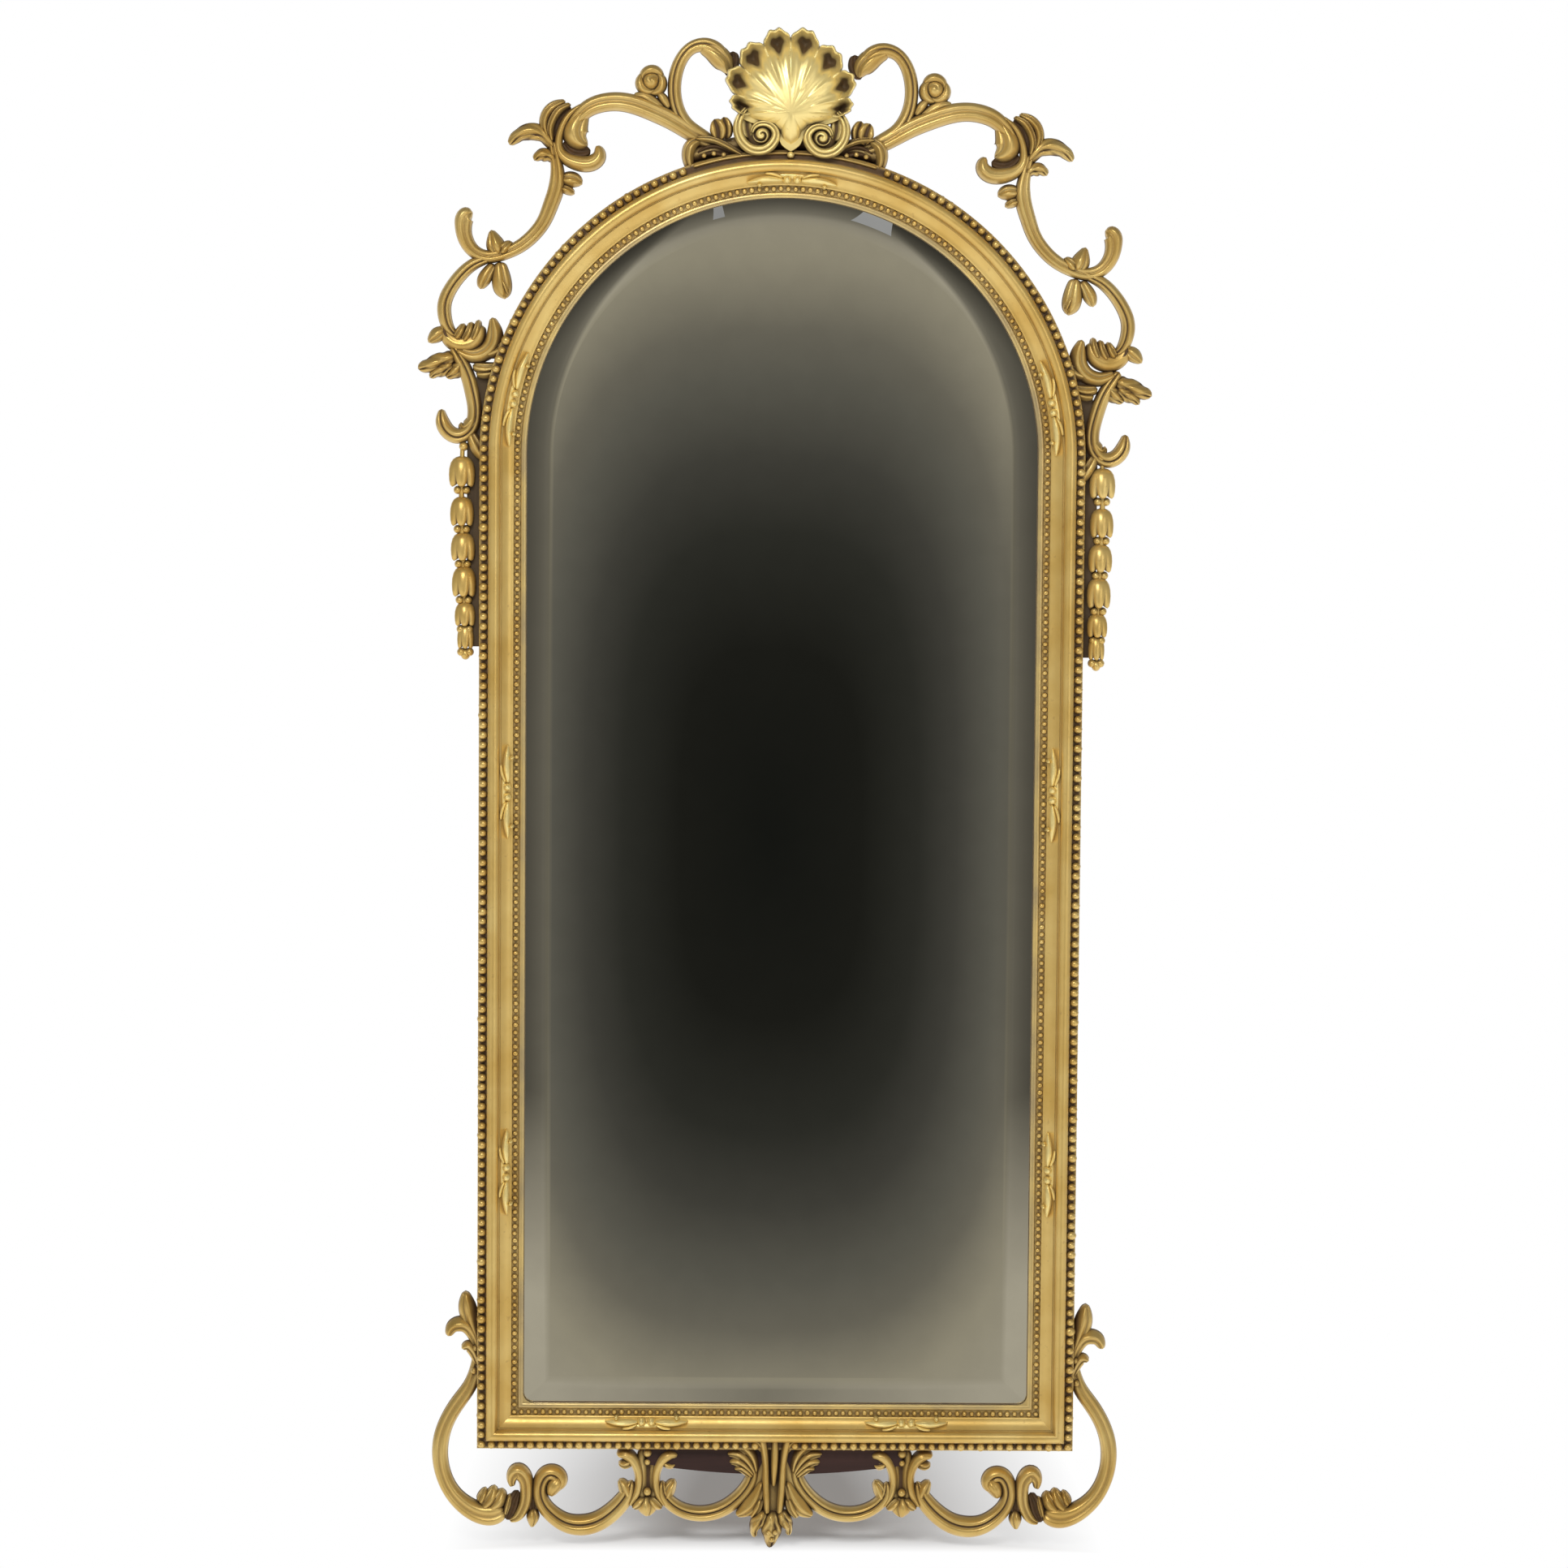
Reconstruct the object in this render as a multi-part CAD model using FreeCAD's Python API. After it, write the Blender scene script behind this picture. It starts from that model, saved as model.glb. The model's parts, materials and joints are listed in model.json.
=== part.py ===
"""Gilt wall mirror: arched pearl-edged frame, pierced shell crest with scroll wings, husks and apron.

Millimetres. +Z is up, the front faces -Y and the wall is the plane y = 0.
The origin is on the wall at the centre of the arch, half way between the two hanging points.
Ornament is drawn for the left side. The right side is its mirror image, with the small shifts of hand work.
"""
import FreeCAD, Part
import math
import os
from collections import namedtuple

from FreeCAD import Vector

# Visible glass
sight_radius = 235.0
sight_drop = 883.0
sight_corner_radius = 9.0

# Moulding, as widths from the sight edge outwards
lip_width = 5.6
inner_seat_width = 5.6
cove_width = 10.8
quirk_width = 1.5
torus_width = 11.0
outer_seat_width = 8.5

# Moulding, as heights above the back of the frame
rebate_depth = 14.0
lip_height = 18.0
inner_seat_height = 17.0
cove_foot_height = 19.5
cove_top_height = 25.5
quirk_depth = 1.5
torus_top_height = 32.0
outer_seat_height = 20.0

# Rebate and what it holds
rebate_width = 8.0
glass_thickness = 5.0
glass_edge_thickness = 2.5
bevel_width = 24.5
glass_play = 2.0
backboard_thickness = 5.0
point_thickness = 0.8
point_length = 14.0
point_width = 10.0
spacer_length = 30.0

# Pearls
outer_pearl_pitch = 9.1
pearl_side_gap = 0.4
pearl_neck = 1.2
pearl_flat = 2.4
crest_half_angle = 19.0
drop_head_half_width = 15.0

# Joinery
dowel_radius = 3.0
dowel_length = 40.0
dowel_height = 10.0
mitre_key_leg = 36.0
mitre_key_thickness = 3.0
fixing_dowel_radius = 2.5
fixing_dowel_length = 26.0

# Wall side
wall_gap = 6.0
bumper_radius = 8.0
bumper_inset = 20.0

# Hanging rings and straps
ring_wire_radius = 1.5
ring_half_width = 12.0
ring_leg = 6.0
ring_bend_radius = 3.0
running_clearance = 0.05
strap_thickness = 1.2
strap_width = 14.0
strap_length = 46.0
strap_clearance = 0.4
screw_head_radius = 3.5
screw_head_height = 1.6
screw_shank_radius = 1.6
screw_depth = 12.0
screw_drops = (9.5, 35.0)

# Carved ornament: depths are from the wall to the back of the piece
carrier_depth = 7.0
scroll_depth = 8.0
loop_depth = 8.4
leaf_depth = 8.8
scroll_height = 13.0
loop_height = 11.0
leaf_height = 9.0
slip_thickness = 6.0
slip_width = 12.0
slip_drop = 178.0
slip_angle = 15.0
crest_plate_thickness = 15.0
crest_plate_rise = 16.0
shell_height = 24.0
shell_offset = 4.0
apron_board_thickness = 11.0
apron_board_drop = 25.0
apron_board_end_drop = 16.0
clasp_share = 0.428
spray_width = 9.6
spray_height = 4.0
glue_line = 0.3
crumb_volume = 120.0

# Hand work: how far the right side departs from a true mirror image
right_wing_lean = 2.4
right_bracket_lean = 3.4
right_husk_shift = 6.5
right_foot_shift = 9.0

# Sizes that follow
cove_start = lip_width + inner_seat_width
quirk_start = cove_start + cove_width
torus_start = quirk_start + quirk_width
outer_seat_start = torus_start + torus_width
moulding_width = outer_seat_start + outer_seat_width
outer_radius = sight_radius + moulding_width
outer_drop = sight_drop + moulding_width
frame_front = wall_gap + torus_top_height
rebate_wall = sight_radius + rebate_width
glass_radius = rebate_wall - glass_play
glass_drop = sight_drop + rebate_width - glass_play
glass_front = wall_gap + rebate_depth
glass_back = glass_front - glass_thickness
backboard_back = glass_back - backboard_thickness
outer_pearl_radius = outer_seat_width / 2 - pearl_side_gap
outer_pearl_line = outer_radius - outer_seat_width / 2
outer_pearl_depth = wall_gap + outer_seat_height
inner_pearl_radius = inner_seat_width / 2
inner_pearl_line = sight_radius + lip_width + inner_pearl_radius
inner_pearl_depth = wall_gap + inner_seat_height
cove_middle = sight_radius + cove_start + cove_width / 2
cove_middle_depth = wall_gap + (cove_foot_height + cove_top_height) / 2
hanger_line = (rebate_wall + outer_radius) / 2
ring_depth = wall_gap - strap_thickness - strap_clearance - ring_wire_radius
ring_reach = ring_leg + ring_half_width - ring_wire_radius
ring_pivot_drop = ring_reach
spray_depth = cove_middle_depth - spray_height
crest_plate_front = carrier_depth + crest_plate_thickness
apron_board_front = carrier_depth + apron_board_thickness

Y_AXIS = Vector(0, 1, 0)
TO_ROOM = Vector(0, -1, 0)
ORIGIN = Vector(0, 0, 0)
QUARTER_TURN = 90.0
HALF_TURN = 180.0

Side = namedtuple("Side", "is_right wing_lean bracket_lean husk_shift foot_shift")
LEFT = Side(False, 0.0, 0.0, 0.0, 0.0)
RIGHT = Side(True, right_wing_lean, right_bracket_lean, right_husk_shift, right_foot_shift)


def mirrored(shape):
    """The same shape on the other side of the middle plane."""
    return shape.mirror(ORIGIN, Vector(1, 0, 0))


def on_side(shape, side):
    """Carving drawn for the left, moved to its own side."""
    return mirrored(shape) if side.is_right else shape


def turned(shape, degrees):
    """Turn a shape about the arch's centre, clockwise as the viewer sees it."""
    copy = shape.copy()
    copy.rotate(ORIGIN, Y_AXIS, degrees)
    return copy


def save(shape, node):
    """Write one node's solids."""
    shape.exportStep("parts/%s.step" % node)


def group(shapes):
    """Several separate solids in one node."""
    return Part.makeCompound([solid for shape in shapes for solid in shape.Solids])


def joined(shapes):
    """One carved piece from forms that run into each other."""
    return shapes[0].multiFuse(shapes[1:])


def seated(shape, carriers):
    """Cut a piece back to the faces of the pieces that carry it, without the crumbs."""
    kept = shape.cut(carriers)
    return group([solid for solid in kept.Solids if solid.Volume > crumb_volume])


def bedded(shape, carriers):
    """Seat a piece on curved carriers, with a line of glue between them."""
    bed = seated(shape, carriers)
    bed.translate(TO_ROOM * glue_line)
    return bed


def block(low, high):
    """Box between two corners."""
    size = high - low
    return Part.makeBox(size.x, size.y, size.z, low)


def prism(points, depth_back, depth_front):
    """Flat plate with straight edges: points are (x, z), depths are measured from the wall."""
    corners = [Vector(x, -depth_back, z) for x, z in points]
    face = Part.Face(Part.makePolygon(corners + corners[:1]))
    return face.extrude(TO_ROOM * (depth_front - depth_back))


def section_face(corners):
    """Face from corners in order: a plain corner ends a line, a pair (via, end) ends an arc."""
    edges = []
    start = corners[0]
    for corner in corners[1:] + corners[:1]:
        if isinstance(corner, tuple):
            via, end = corner
            edges.append(Part.Arc(start, via, end).toShape())
        else:
            end = corner
            edges.append(Part.makeLine(start, end))
        start = end
    return Part.Face(Part.Wire(edges))


def moulding_section(sight):
    """Cross-section of the moulding on the +X side, at z = 0."""
    def at(outwards, height):
        return Vector(sight + outwards, -wall_gap - height, 0)

    cove_dip = (cove_foot_height * 0.65 + cove_top_height * 0.35)
    return section_face([
        at(rebate_width, 0),
        at(rebate_width, rebate_depth),
        at(0, rebate_depth),
        at(0, inner_seat_height),
        (at(lip_width / 2, lip_height + 0.6), at(lip_width, lip_height)),
        at(lip_width, inner_seat_height),
        at(cove_start, inner_seat_height),
        at(cove_start, cove_foot_height),
        (at(cove_start + cove_width * 0.5, cove_dip), at(quirk_start, cove_top_height)),
        at(quirk_start, cove_top_height - quirk_depth),
        at(torus_start, cove_top_height - quirk_depth),
        at(torus_start, cove_top_height),
        (at(torus_start + torus_width / 2, torus_top_height), at(outer_seat_start, cove_top_height)),
        at(outer_seat_start, outer_seat_height),
        at(moulding_width, outer_seat_height),
        at(moulding_width, 0),
    ])


def make_arch():
    """Right-hand quarter of the arched head."""
    return moulding_section(sight_radius).revolve(ORIGIN, TO_ROOM, QUARTER_TURN)


def mitre_waste(reach):
    """Wedge below the right-hand mitre line, which runs outwards and down from the sight corner."""
    corner = (sight_radius, -sight_drop)
    inner = (corner[0] - reach, corner[1] + reach)
    outer = (corner[0] + reach, corner[1] - reach)
    return prism([inner, outer, (inner[0], outer[1])], 0, frame_front + wall_gap)


def make_stile():
    """Right-hand stile, square at the springing and mitred at the foot."""
    blank = moulding_section(sight_radius).extrude(Vector(0, 0, -outer_drop))
    return blank.cut(mitre_waste(outer_drop))


def sight_corner():
    """Small concave filling in the lower right corner of the lip."""
    radius = sight_corner_radius
    x, z = sight_radius, -sight_drop
    filling = prism([(x, z), (x, z + radius), (x - radius, z)], glass_front, wall_gap + inner_seat_height)
    scoop = Part.makeCylinder(radius, frame_front, Vector(x - radius, 0, z + radius), TO_ROOM)
    return filling.cut(scoop)


def make_rail():
    """Bottom rail between the two mitres, with the sight corners filled."""
    section = turned(moulding_section(sight_drop), QUARTER_TURN)
    section.translate(Vector(-outer_radius, 0, 0))
    rail = section.extrude(Vector(2 * outer_radius, 0, 0))
    above = block(Vector(-outer_radius, -frame_front, -sight_drop), Vector(outer_radius, 0, 0))
    keep = mitre_waste(outer_drop).common(mirrored(mitre_waste(outer_drop)))
    rail = rail.common(keep).cut(above)
    corner = sight_corner()
    return joined([rail, corner, mirrored(corner)])


def frame_envelope():
    """Everything inside the frame's outer edge, through the full depth."""
    head = Part.makeCylinder(outer_radius, frame_front, ORIGIN, TO_ROOM)
    body = block(Vector(-outer_radius, -frame_front, -outer_drop), Vector(outer_radius, 0, 0))
    return head.fuse(body)


def dowel(centre, direction, radius, length):
    """Plain dowel about a centre."""
    start = centre - direction * (length / 2)
    return Part.makeCylinder(radius, length, start, direction)


def make_frame_dowels():
    """Two dowels across each springing joint and two across the crown."""
    dowels = []
    for offset in (cove_start + cove_width * 0.4, torus_start + torus_width / 2):
        radius = sight_radius + offset
        depth = -wall_gap - dowel_height
        for x in (-radius, radius):
            dowels.append(dowel(Vector(x, depth, 0), Vector(0, 0, 1), dowel_radius, dowel_length))
        dowels.append(dowel(Vector(0, depth, radius), Vector(1, 0, 0), dowel_radius, dowel_length))
    return group(dowels)


def make_mitre_keys():
    """Triangular feather across each lower mitre."""
    depth = wall_gap + dowel_height
    x, z = outer_radius, -outer_drop
    corners = [(x, z), (x, z + mitre_key_leg), (x - mitre_key_leg, z)]
    key = prism(corners, depth, depth + mitre_key_thickness)
    return group([key, mirrored(key)])


def crest_dowel_angles():
    """Places of the crest plate's dowels, in degrees from the vertical."""
    return (-crest_half_angle / 2, crest_half_angle / 2)


def make_ornament_dowels():
    """Radial dowels under the crest plate and upright ones above the apron board."""
    crest_depth = -(carrier_depth + crest_plate_thickness / 2)
    upright = Vector(0, 0, 1)
    centre = Vector(0, crest_depth, outer_radius)
    crest = dowel(centre, upright, fixing_dowel_radius, fixing_dowel_length)
    dowels = [turned(crest, angle) for angle in crest_dowel_angles()]
    apron_depth = -(carrier_depth + apron_board_thickness / 2)
    for share in (-0.25, 0.25):
        centre = Vector(share * outer_radius, apron_depth, -outer_drop)
        dowels.append(dowel(centre, upright, fixing_dowel_radius, fixing_dowel_length))
    return group(dowels)


def pearl_run(length):
    """Straight strip of chamfered pearls along +Z: its flat back is on y = 0 and it faces the room."""
    count = int(length / outer_pearl_pitch)
    margin = (length - count * outer_pearl_pitch) / 2
    corners = [Vector(0, 0, 0), Vector(pearl_neck, 0, 0)]
    for index in range(count):
        centre = margin + (index + 0.5) * outer_pearl_pitch
        corners.append(Vector(pearl_neck, 0, centre - outer_pearl_radius))
        corners.append(Vector(outer_pearl_radius, 0, centre - pearl_flat / 2))
        corners.append(Vector(outer_pearl_radius, 0, centre + pearl_flat / 2))
        corners.append(Vector(pearl_neck, 0, centre + outer_pearl_radius))
    corners += [Vector(pearl_neck, 0, length), Vector(0, 0, length)]
    return section_face(corners).revolve(ORIGIN, Vector(0, 0, 1), -HALF_TURN)


def half_round_arc(line_radius, radius, sweep):
    """Half-octagon strip on the arch: starts at the springing on +X and sweeps up over the given degrees."""
    chamfer = radius * math.sqrt(0.5)
    face = section_face([
        Vector(line_radius - radius, 0, 0),
        Vector(line_radius - chamfer, -chamfer, 0),
        Vector(line_radius, -radius, 0),
        Vector(line_radius + chamfer, -chamfer, 0),
        Vector(line_radius + radius, 0, 0),
    ])
    return face.revolve(ORIGIN, TO_ROOM, sweep)


def pearl_arc(sweep):
    """Pearl strip on the right-hand side of the arch, up to the crest."""
    neck = half_round_arc(outer_pearl_line, pearl_neck, sweep)
    step = math.degrees(outer_pearl_pitch / outer_pearl_line)
    seat = Vector(outer_pearl_line, 0, 0)
    pearl = Part.makeCone(outer_pearl_radius, pearl_flat, outer_pearl_radius, seat, TO_ROOM)
    count = int(sweep / step)
    margin = (sweep - count * step) / 2
    pearls = [turned(pearl, -margin - (index + 0.5) * step) for index in range(count)]
    return joined([neck] + pearls)


def make_outer_beading():
    """Pearl strips of the arch, the stiles and the rail; the crest and the drop interrupt them."""
    lift = TO_ROOM * outer_pearl_depth
    arch = pearl_arc(QUARTER_TURN - crest_half_angle)
    arch.translate(lift)
    stile = pearl_run(outer_drop - outer_seat_width)
    stile.translate(lift + Vector(outer_pearl_line, 0, -(outer_drop - outer_seat_width)))
    rail = pearl_run(outer_radius - drop_head_half_width)
    rail.rotate(ORIGIN, Y_AXIS, QUARTER_TURN)
    rail.translate(lift + Vector(drop_head_half_width, 0, -outer_drop + outer_seat_width / 2))
    return [group([strip, mirrored(strip)]) for strip in (arch, stile, rail)]


def make_inner_beading():
    """Fine bead beside the sight edge: arch, stiles and rail."""
    lift = TO_ROOM * inner_pearl_depth
    radius = inner_pearl_radius
    quarter = half_round_arc(inner_pearl_line, radius, QUARTER_TURN)
    drop = sight_drop + lip_width
    half_length = inner_pearl_line + radius
    half_round = section_face([Vector(-radius, 0, 0), (Vector(0, -radius, 0), Vector(radius, 0, 0))])
    stile = half_round.extrude(Vector(0, 0, drop))
    stile.translate(Vector(inner_pearl_line, 0, -drop))
    rail = half_round.extrude(Vector(0, 0, 2 * half_length))
    rail.rotate(ORIGIN, Y_AXIS, QUARTER_TURN)
    rail.translate(Vector(-half_length, 0, -drop - radius))
    for strip in (quarter, stile, rail):
        strip.translate(lift)
    return [group([quarter, mirrored(quarter)]), group([stile, mirrored(stile)]), rail]


def arched_wire(radius, drop, depth):
    """Outline of the glass opening: straight sides and foot, with a round head."""
    y = -depth
    crown = radius * math.sqrt(0.5)
    left, right, top = Vector(-radius, y, 0), Vector(radius, y, 0), Vector(0, y, radius)
    foot_left, foot_right = Vector(-radius, y, -drop), Vector(radius, y, -drop)
    return Part.Wire([
        Part.makeLine(foot_left, foot_right),
        Part.makeLine(foot_right, right),
        Part.Arc(right, Vector(crown, y, crown), top).toShape(),
        Part.Arc(top, Vector(-crown, y, crown), left).toShape(),
        Part.makeLine(left, foot_left),
    ])


def make_mirror_plate():
    """Plate glass with a wide flat bevel all round its front."""
    bevel_start = glass_back + glass_edge_thickness
    inset = rebate_width - glass_play + bevel_width
    edge = arched_wire(glass_radius, glass_drop, bevel_start)
    field = arched_wire(glass_radius - inset, glass_drop - inset, glass_front)
    base = Part.Face(arched_wire(glass_radius, glass_drop, glass_back))
    slab = base.extrude(TO_ROOM * glass_edge_thickness)
    return slab.fuse(Part.makeLoft([edge, field], True, True))


def make_backboard():
    """Thin board that closes the rebate behind the plate."""
    face = Part.Face(arched_wire(glass_radius, glass_drop, backboard_back))
    return face.extrude(TO_ROOM * backboard_thickness)


def make_glass_spacers():
    """Slips between the edge of the plate and the wall of the rebate."""
    half = spacer_length / 2
    slips = []
    for share in (0.3, 0.7):
        z = -sight_drop * share
        low = Vector(glass_radius, -glass_front, z - half)
        slip = block(low, Vector(rebate_wall, -glass_back, z + half))
        slips += [slip, mirrored(slip)]
    for x in (-sight_radius / 2, sight_radius / 2):
        low = Vector(x - half, -glass_front, -sight_drop - rebate_width)
        slips.append(block(low, Vector(x + half, -glass_back, -glass_drop)))
    return group(slips)


def make_glazing_points():
    """Flat points driven half way into the wall of the rebate, on the back of the board."""
    reach = point_length / 2
    width = point_width / 2
    outline = [(-reach, -width), (0, -width), (reach, 0), (0, width), (-reach, width)]
    front, back = backboard_back, backboard_back - point_thickness
    point = prism([(rebate_wall + x, z) for x, z in outline], back, front)
    points = [turned(point, -angle) for angle in (30, 75, 105, 150)]
    for share in (0.2, 0.5, 0.8):
        driven = point.copy()
        driven.translate(Vector(0, 0, -sight_drop * share))
        points += [driven, mirrored(driven)]
    foot = prism([(x, -sight_drop - rebate_width - z) for z, x in outline], back, front)
    for x in (-sight_radius / 2, sight_radius / 2):
        driven = foot.copy()
        driven.translate(Vector(x, 0, 0))
        points.append(driven)
    return group(points)


def ring_at(x):
    """Hanging ring, at rest: bar in the knuckle and bow hanging down."""
    y, top = -ring_depth, -ring_pivot_drop
    half, bend, leg = ring_half_width, ring_bend_radius, ring_leg
    lean = bend * math.sqrt(0.5)
    bow = half * math.sqrt(0.5)

    def at(across, down):
        return Vector(x + across, y, top - down)

    path = Part.Wire([
        Part.makeLine(at(0, 0), at(half - bend, 0)),
        Part.Arc(at(half - bend, 0), at(half - bend + lean, bend - lean), at(half, bend)).toShape(),
        Part.makeLine(at(half, bend), at(half, leg)),
        Part.Arc(at(half, leg), at(bow, leg + bow), at(0, leg + half)).toShape(),
    ])
    circle = Part.Wire(Part.makeCircle(ring_wire_radius, at(0, 0), Vector(1, 0, 0)))
    right = path.makePipe(Part.Face(circle))
    left = right.mirror(at(0, 0), Vector(1, 0, 0))
    return right.fuse(left).removeSplitter()


def strap_holes():
    """Heights of the strap's screw holes."""
    return [-ring_pivot_drop - drop for drop in screw_drops]


def strap_at(x):
    """Sheet strap rolled round the ring's bar, with a round foot and two screw holes."""
    top = -ring_pivot_drop
    half = strap_width / 2
    back, front = -wall_gap, -wall_gap + strap_thickness
    bore = ring_wire_radius + running_clearance
    foot = top - strap_length + half
    sheet = block(Vector(x - half, back, foot), Vector(x + half, front, top))
    end = Part.makeCylinder(half, strap_thickness, Vector(x, back, foot), Y_AXIS)
    start = Vector(x - half, -ring_depth, top)
    along = Vector(1, 0, 0)
    knuckle = Part.makeCylinder(bore + strap_thickness, strap_width, start, along)
    solid = joined([sheet, end, knuckle])
    below = block(Vector(x - half, back - strap_width, foot), Vector(x + half, back, -foot))
    holes = [Part.makeCylinder(bore, strap_width, start, along), below]
    for z in strap_holes():
        holes.append(Part.makeCylinder(screw_shank_radius, wall_gap, Vector(x, back, z), Y_AXIS))
    return solid.cut(holes)


def make_hanger_screws():
    """Round-headed screws through the straps into the stiles."""
    screws = []
    seat = -wall_gap + strap_thickness
    for x in (-hanger_line, hanger_line):
        for z in strap_holes():
            head = Part.makeCylinder(screw_head_radius, screw_head_height, Vector(x, seat, z), Y_AXIS)
            shank = Part.makeCylinder(screw_shank_radius, screw_depth, Vector(x, seat, z), TO_ROOM)
            screws.append(head.fuse(shank))
    return group(screws)


def make_wall_bumpers():
    """Round pads that keep the foot of the frame off the wall."""
    x = outer_radius - bumper_inset
    pad = Part.makeCylinder(bumper_radius, wall_gap, Vector(x, 0, -outer_drop + bumper_inset), TO_ROOM)
    return group([pad, mirrored(pad)])


def scroll_wire(centre, across, width, height):
    """Cross-section of a scroll: two round rims with a shallow channel between them."""
    def at(share, rise):
        return centre + across * (share * width / 2) + TO_ROOM * (rise * height)

    return Part.Wire([
        Part.Arc(at(-1, 0), at(-0.93, 0.62), at(-0.5, 1)).toShape(),
        Part.Arc(at(-0.5, 1), at(0, 0.8), at(0.5, 1)).toShape(),
        Part.Arc(at(0.5, 1), at(0.93, 0.62), at(1, 0)).toShape(),
        Part.makeLine(at(1, 0), at(-1, 0)),
    ])


def leaf_wire(centre, across, width, height):
    """Cross-section of a leaf: two rounded flanks that meet in a ridge."""
    def at(share, rise):
        return centre + across * (share * width / 2) + TO_ROOM * (rise * height)

    return Part.Wire([
        Part.Arc(at(-1, 0), at(-0.68, 0.66), at(0, 1)).toShape(),
        Part.Arc(at(0, 1), at(0.68, 0.66), at(1, 0)).toShape(),
        Part.makeLine(at(1, 0), at(-1, 0)),
    ])


def carved(points, widths, height, wire):
    """Loft along a flat curve through points; thin places are lower, as carving is."""
    curve = Part.BSplineCurve()
    curve.interpolate(points)
    widest = max(widths)
    wires = []
    for point, width in zip(points, widths):
        along = curve.tangent(curve.parameter(point))[0]
        across = Vector(-along.z, 0, along.x).normalize()
        wires.append(wire(point, across, width, height * (0.5 + 0.5 * width / widest)))
    return Part.makeLoft(wires, True, False)


def boss(centre, radius, height):
    """Rounded button on a flat back: scroll eyes, berries and rose hearts."""
    round_radius = (radius ** 2 + height ** 2) / (2 * height)
    offset = height - round_radius
    base_angle = -math.degrees(math.asin(offset / round_radius))
    return Part.makeSphere(round_radius, centre + TO_ROOM * offset, TO_ROOM, base_angle, 90, 360)


Style = namedtuple("Style", "wire height depth")
SCROLL = Style(scroll_wire, scroll_height, scroll_depth)
LOOP = Style(scroll_wire, loop_height, loop_depth)
LEAF = Style(leaf_wire, leaf_height, leaf_depth)


def wing_point(angle, rise, lean, depth):
    """Point round the left of the arch: degrees above the springing and rise from the frame."""
    turn = math.radians(angle - lean)
    reach = outer_radius + rise
    return Vector(-reach * math.cos(turn), -depth, reach * math.sin(turn))


def wing_form(style, lean, rows):
    """Carved form round the arch: rows are (degrees above the springing, rise from the frame, width)."""
    points = [wing_point(angle, rise, lean, style.depth) for angle, rise, width in rows]
    return carved(points, [row[2] for row in rows], style.height, style.wire)


def make_crest_plate():
    """Board on the crown of the arch: a ring segment that carries the cresting."""
    ring = Part.makeCylinder(outer_radius + crest_plate_rise, crest_plate_thickness,
                             Vector(0, -carrier_depth, 0), TO_ROOM)
    hole = Part.makeCylinder(outer_radius, frame_front, ORIGIN, TO_ROOM)
    angle = math.radians(crest_half_angle)
    half = outer_radius * 2 * math.sin(angle)
    top = outer_radius * 2 * math.cos(angle)
    sector = prism([(0, 0), (half, top), (-half, top)], 0, frame_front)
    return ring.cut(hole).common(sector)


def crest_point(x, rise, depth):
    """Point of the cresting, from the middle of the shell and the crown of the frame."""
    return Vector(shell_offset + x, -depth, outer_radius + rise)


def shell_rib(hub, tilt, reach, width):
    """One rib of the scallop: narrow at the hub, swelling, and low at its lobe."""
    turn = math.radians(tilt)
    along = Vector(math.sin(turn), 0, math.cos(turn))
    across = Vector(-along.z, 0, along.x)
    stations = ((0.04, 0.3, 0.55), (0.35, 0.62, 1.0), (0.72, 1.0, 0.95), (1.0, 0.62, 0.5))
    wires = [leaf_wire(hub + along * (reach * far), across, width * wide, shell_height * high)
             for far, wide, high in stations]
    mouth = hub + along * (reach * 0.87) + TO_ROOM * (shell_height * 1.0)
    return Part.makeLoft(wires, True, False).cut(Part.makeSphere(width * 0.24, mouth))


def make_shell():
    """Scallop: ribs spread from the hub and end in scooped lobes, round a full bowl."""
    hub = crest_point(0, 20, crest_plate_front)
    ribs = []
    for tilt, reach, width in ((9, 91, 24), (29, 87, 26), (50, 78, 26), (68, 68, 20)):
        ribs.append(shell_rib(hub, -tilt, reach, width))
        ribs.append(shell_rib(hub, tilt, reach, width))
    bowl = boss(crest_point(0, 36, crest_plate_front), 28, shell_height * 1.1)
    return joined([bowl] + ribs)


def make_volute():
    """Left spiral under the shell: a band rolled round an eye."""
    band = ((46, 40, 7), (50, 27, 8), (46, 13, 8), (34, 4, 8), (20, 5, 8), (14, 15, 8), (20, 25, 8),
            (30, 26, 6))
    points = [Vector(-x, -crest_plate_front, outer_radius + rise) for x, rise, width in band]
    ribbon = carved(points, [row[2] for row in band], loop_height, scroll_wire)
    eye = boss(Vector(-29, -crest_plate_front, outer_radius + 15), 9.5, loop_height)
    return ribbon.fuse(eye)


def make_crest_scroll(side):
    """Long S scroll of the wing, with its rolled head and the bud inside it."""
    lean = side.wing_lean
    arm = wing_form(SCROLL, lean, ((75.5, 12, 16), (71.5, 38, 18), (67, 63, 17), (62.2, 82, 17),
                                   (58, 84.5, 16),
                                   (54.7, 76.3, 13), (53.4, 65.5, 11), (53.7, 53, 11), (55.2, 45.3, 12),
                                   (57, 44, 14)))
    bud = wing_form(LEAF, lean, ((58.6, 82, 12), (57.4, 73, 17), (57.3, 61, 8)))
    eye = boss(wing_point(57.6, 44, lean, scroll_depth), 8.5, scroll_height)
    return on_side(joined([arm, bud, eye]), side)


def make_crest_loop(side):
    """C loop between the shell and the wing."""
    rows = ((76, 14, 12), (74.5, 35.5, 12), (73.6, 54.6, 12), (73.7, 74.2, 12), (75.2, 90.2, 12),
            (77.3, 99.2, 12), (79.1, 98.8, 13), (80.1, 89.4, 15), (80.4, 76, 9))
    return on_side(wing_form(LOOP, side.wing_lean, rows), side)


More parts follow.
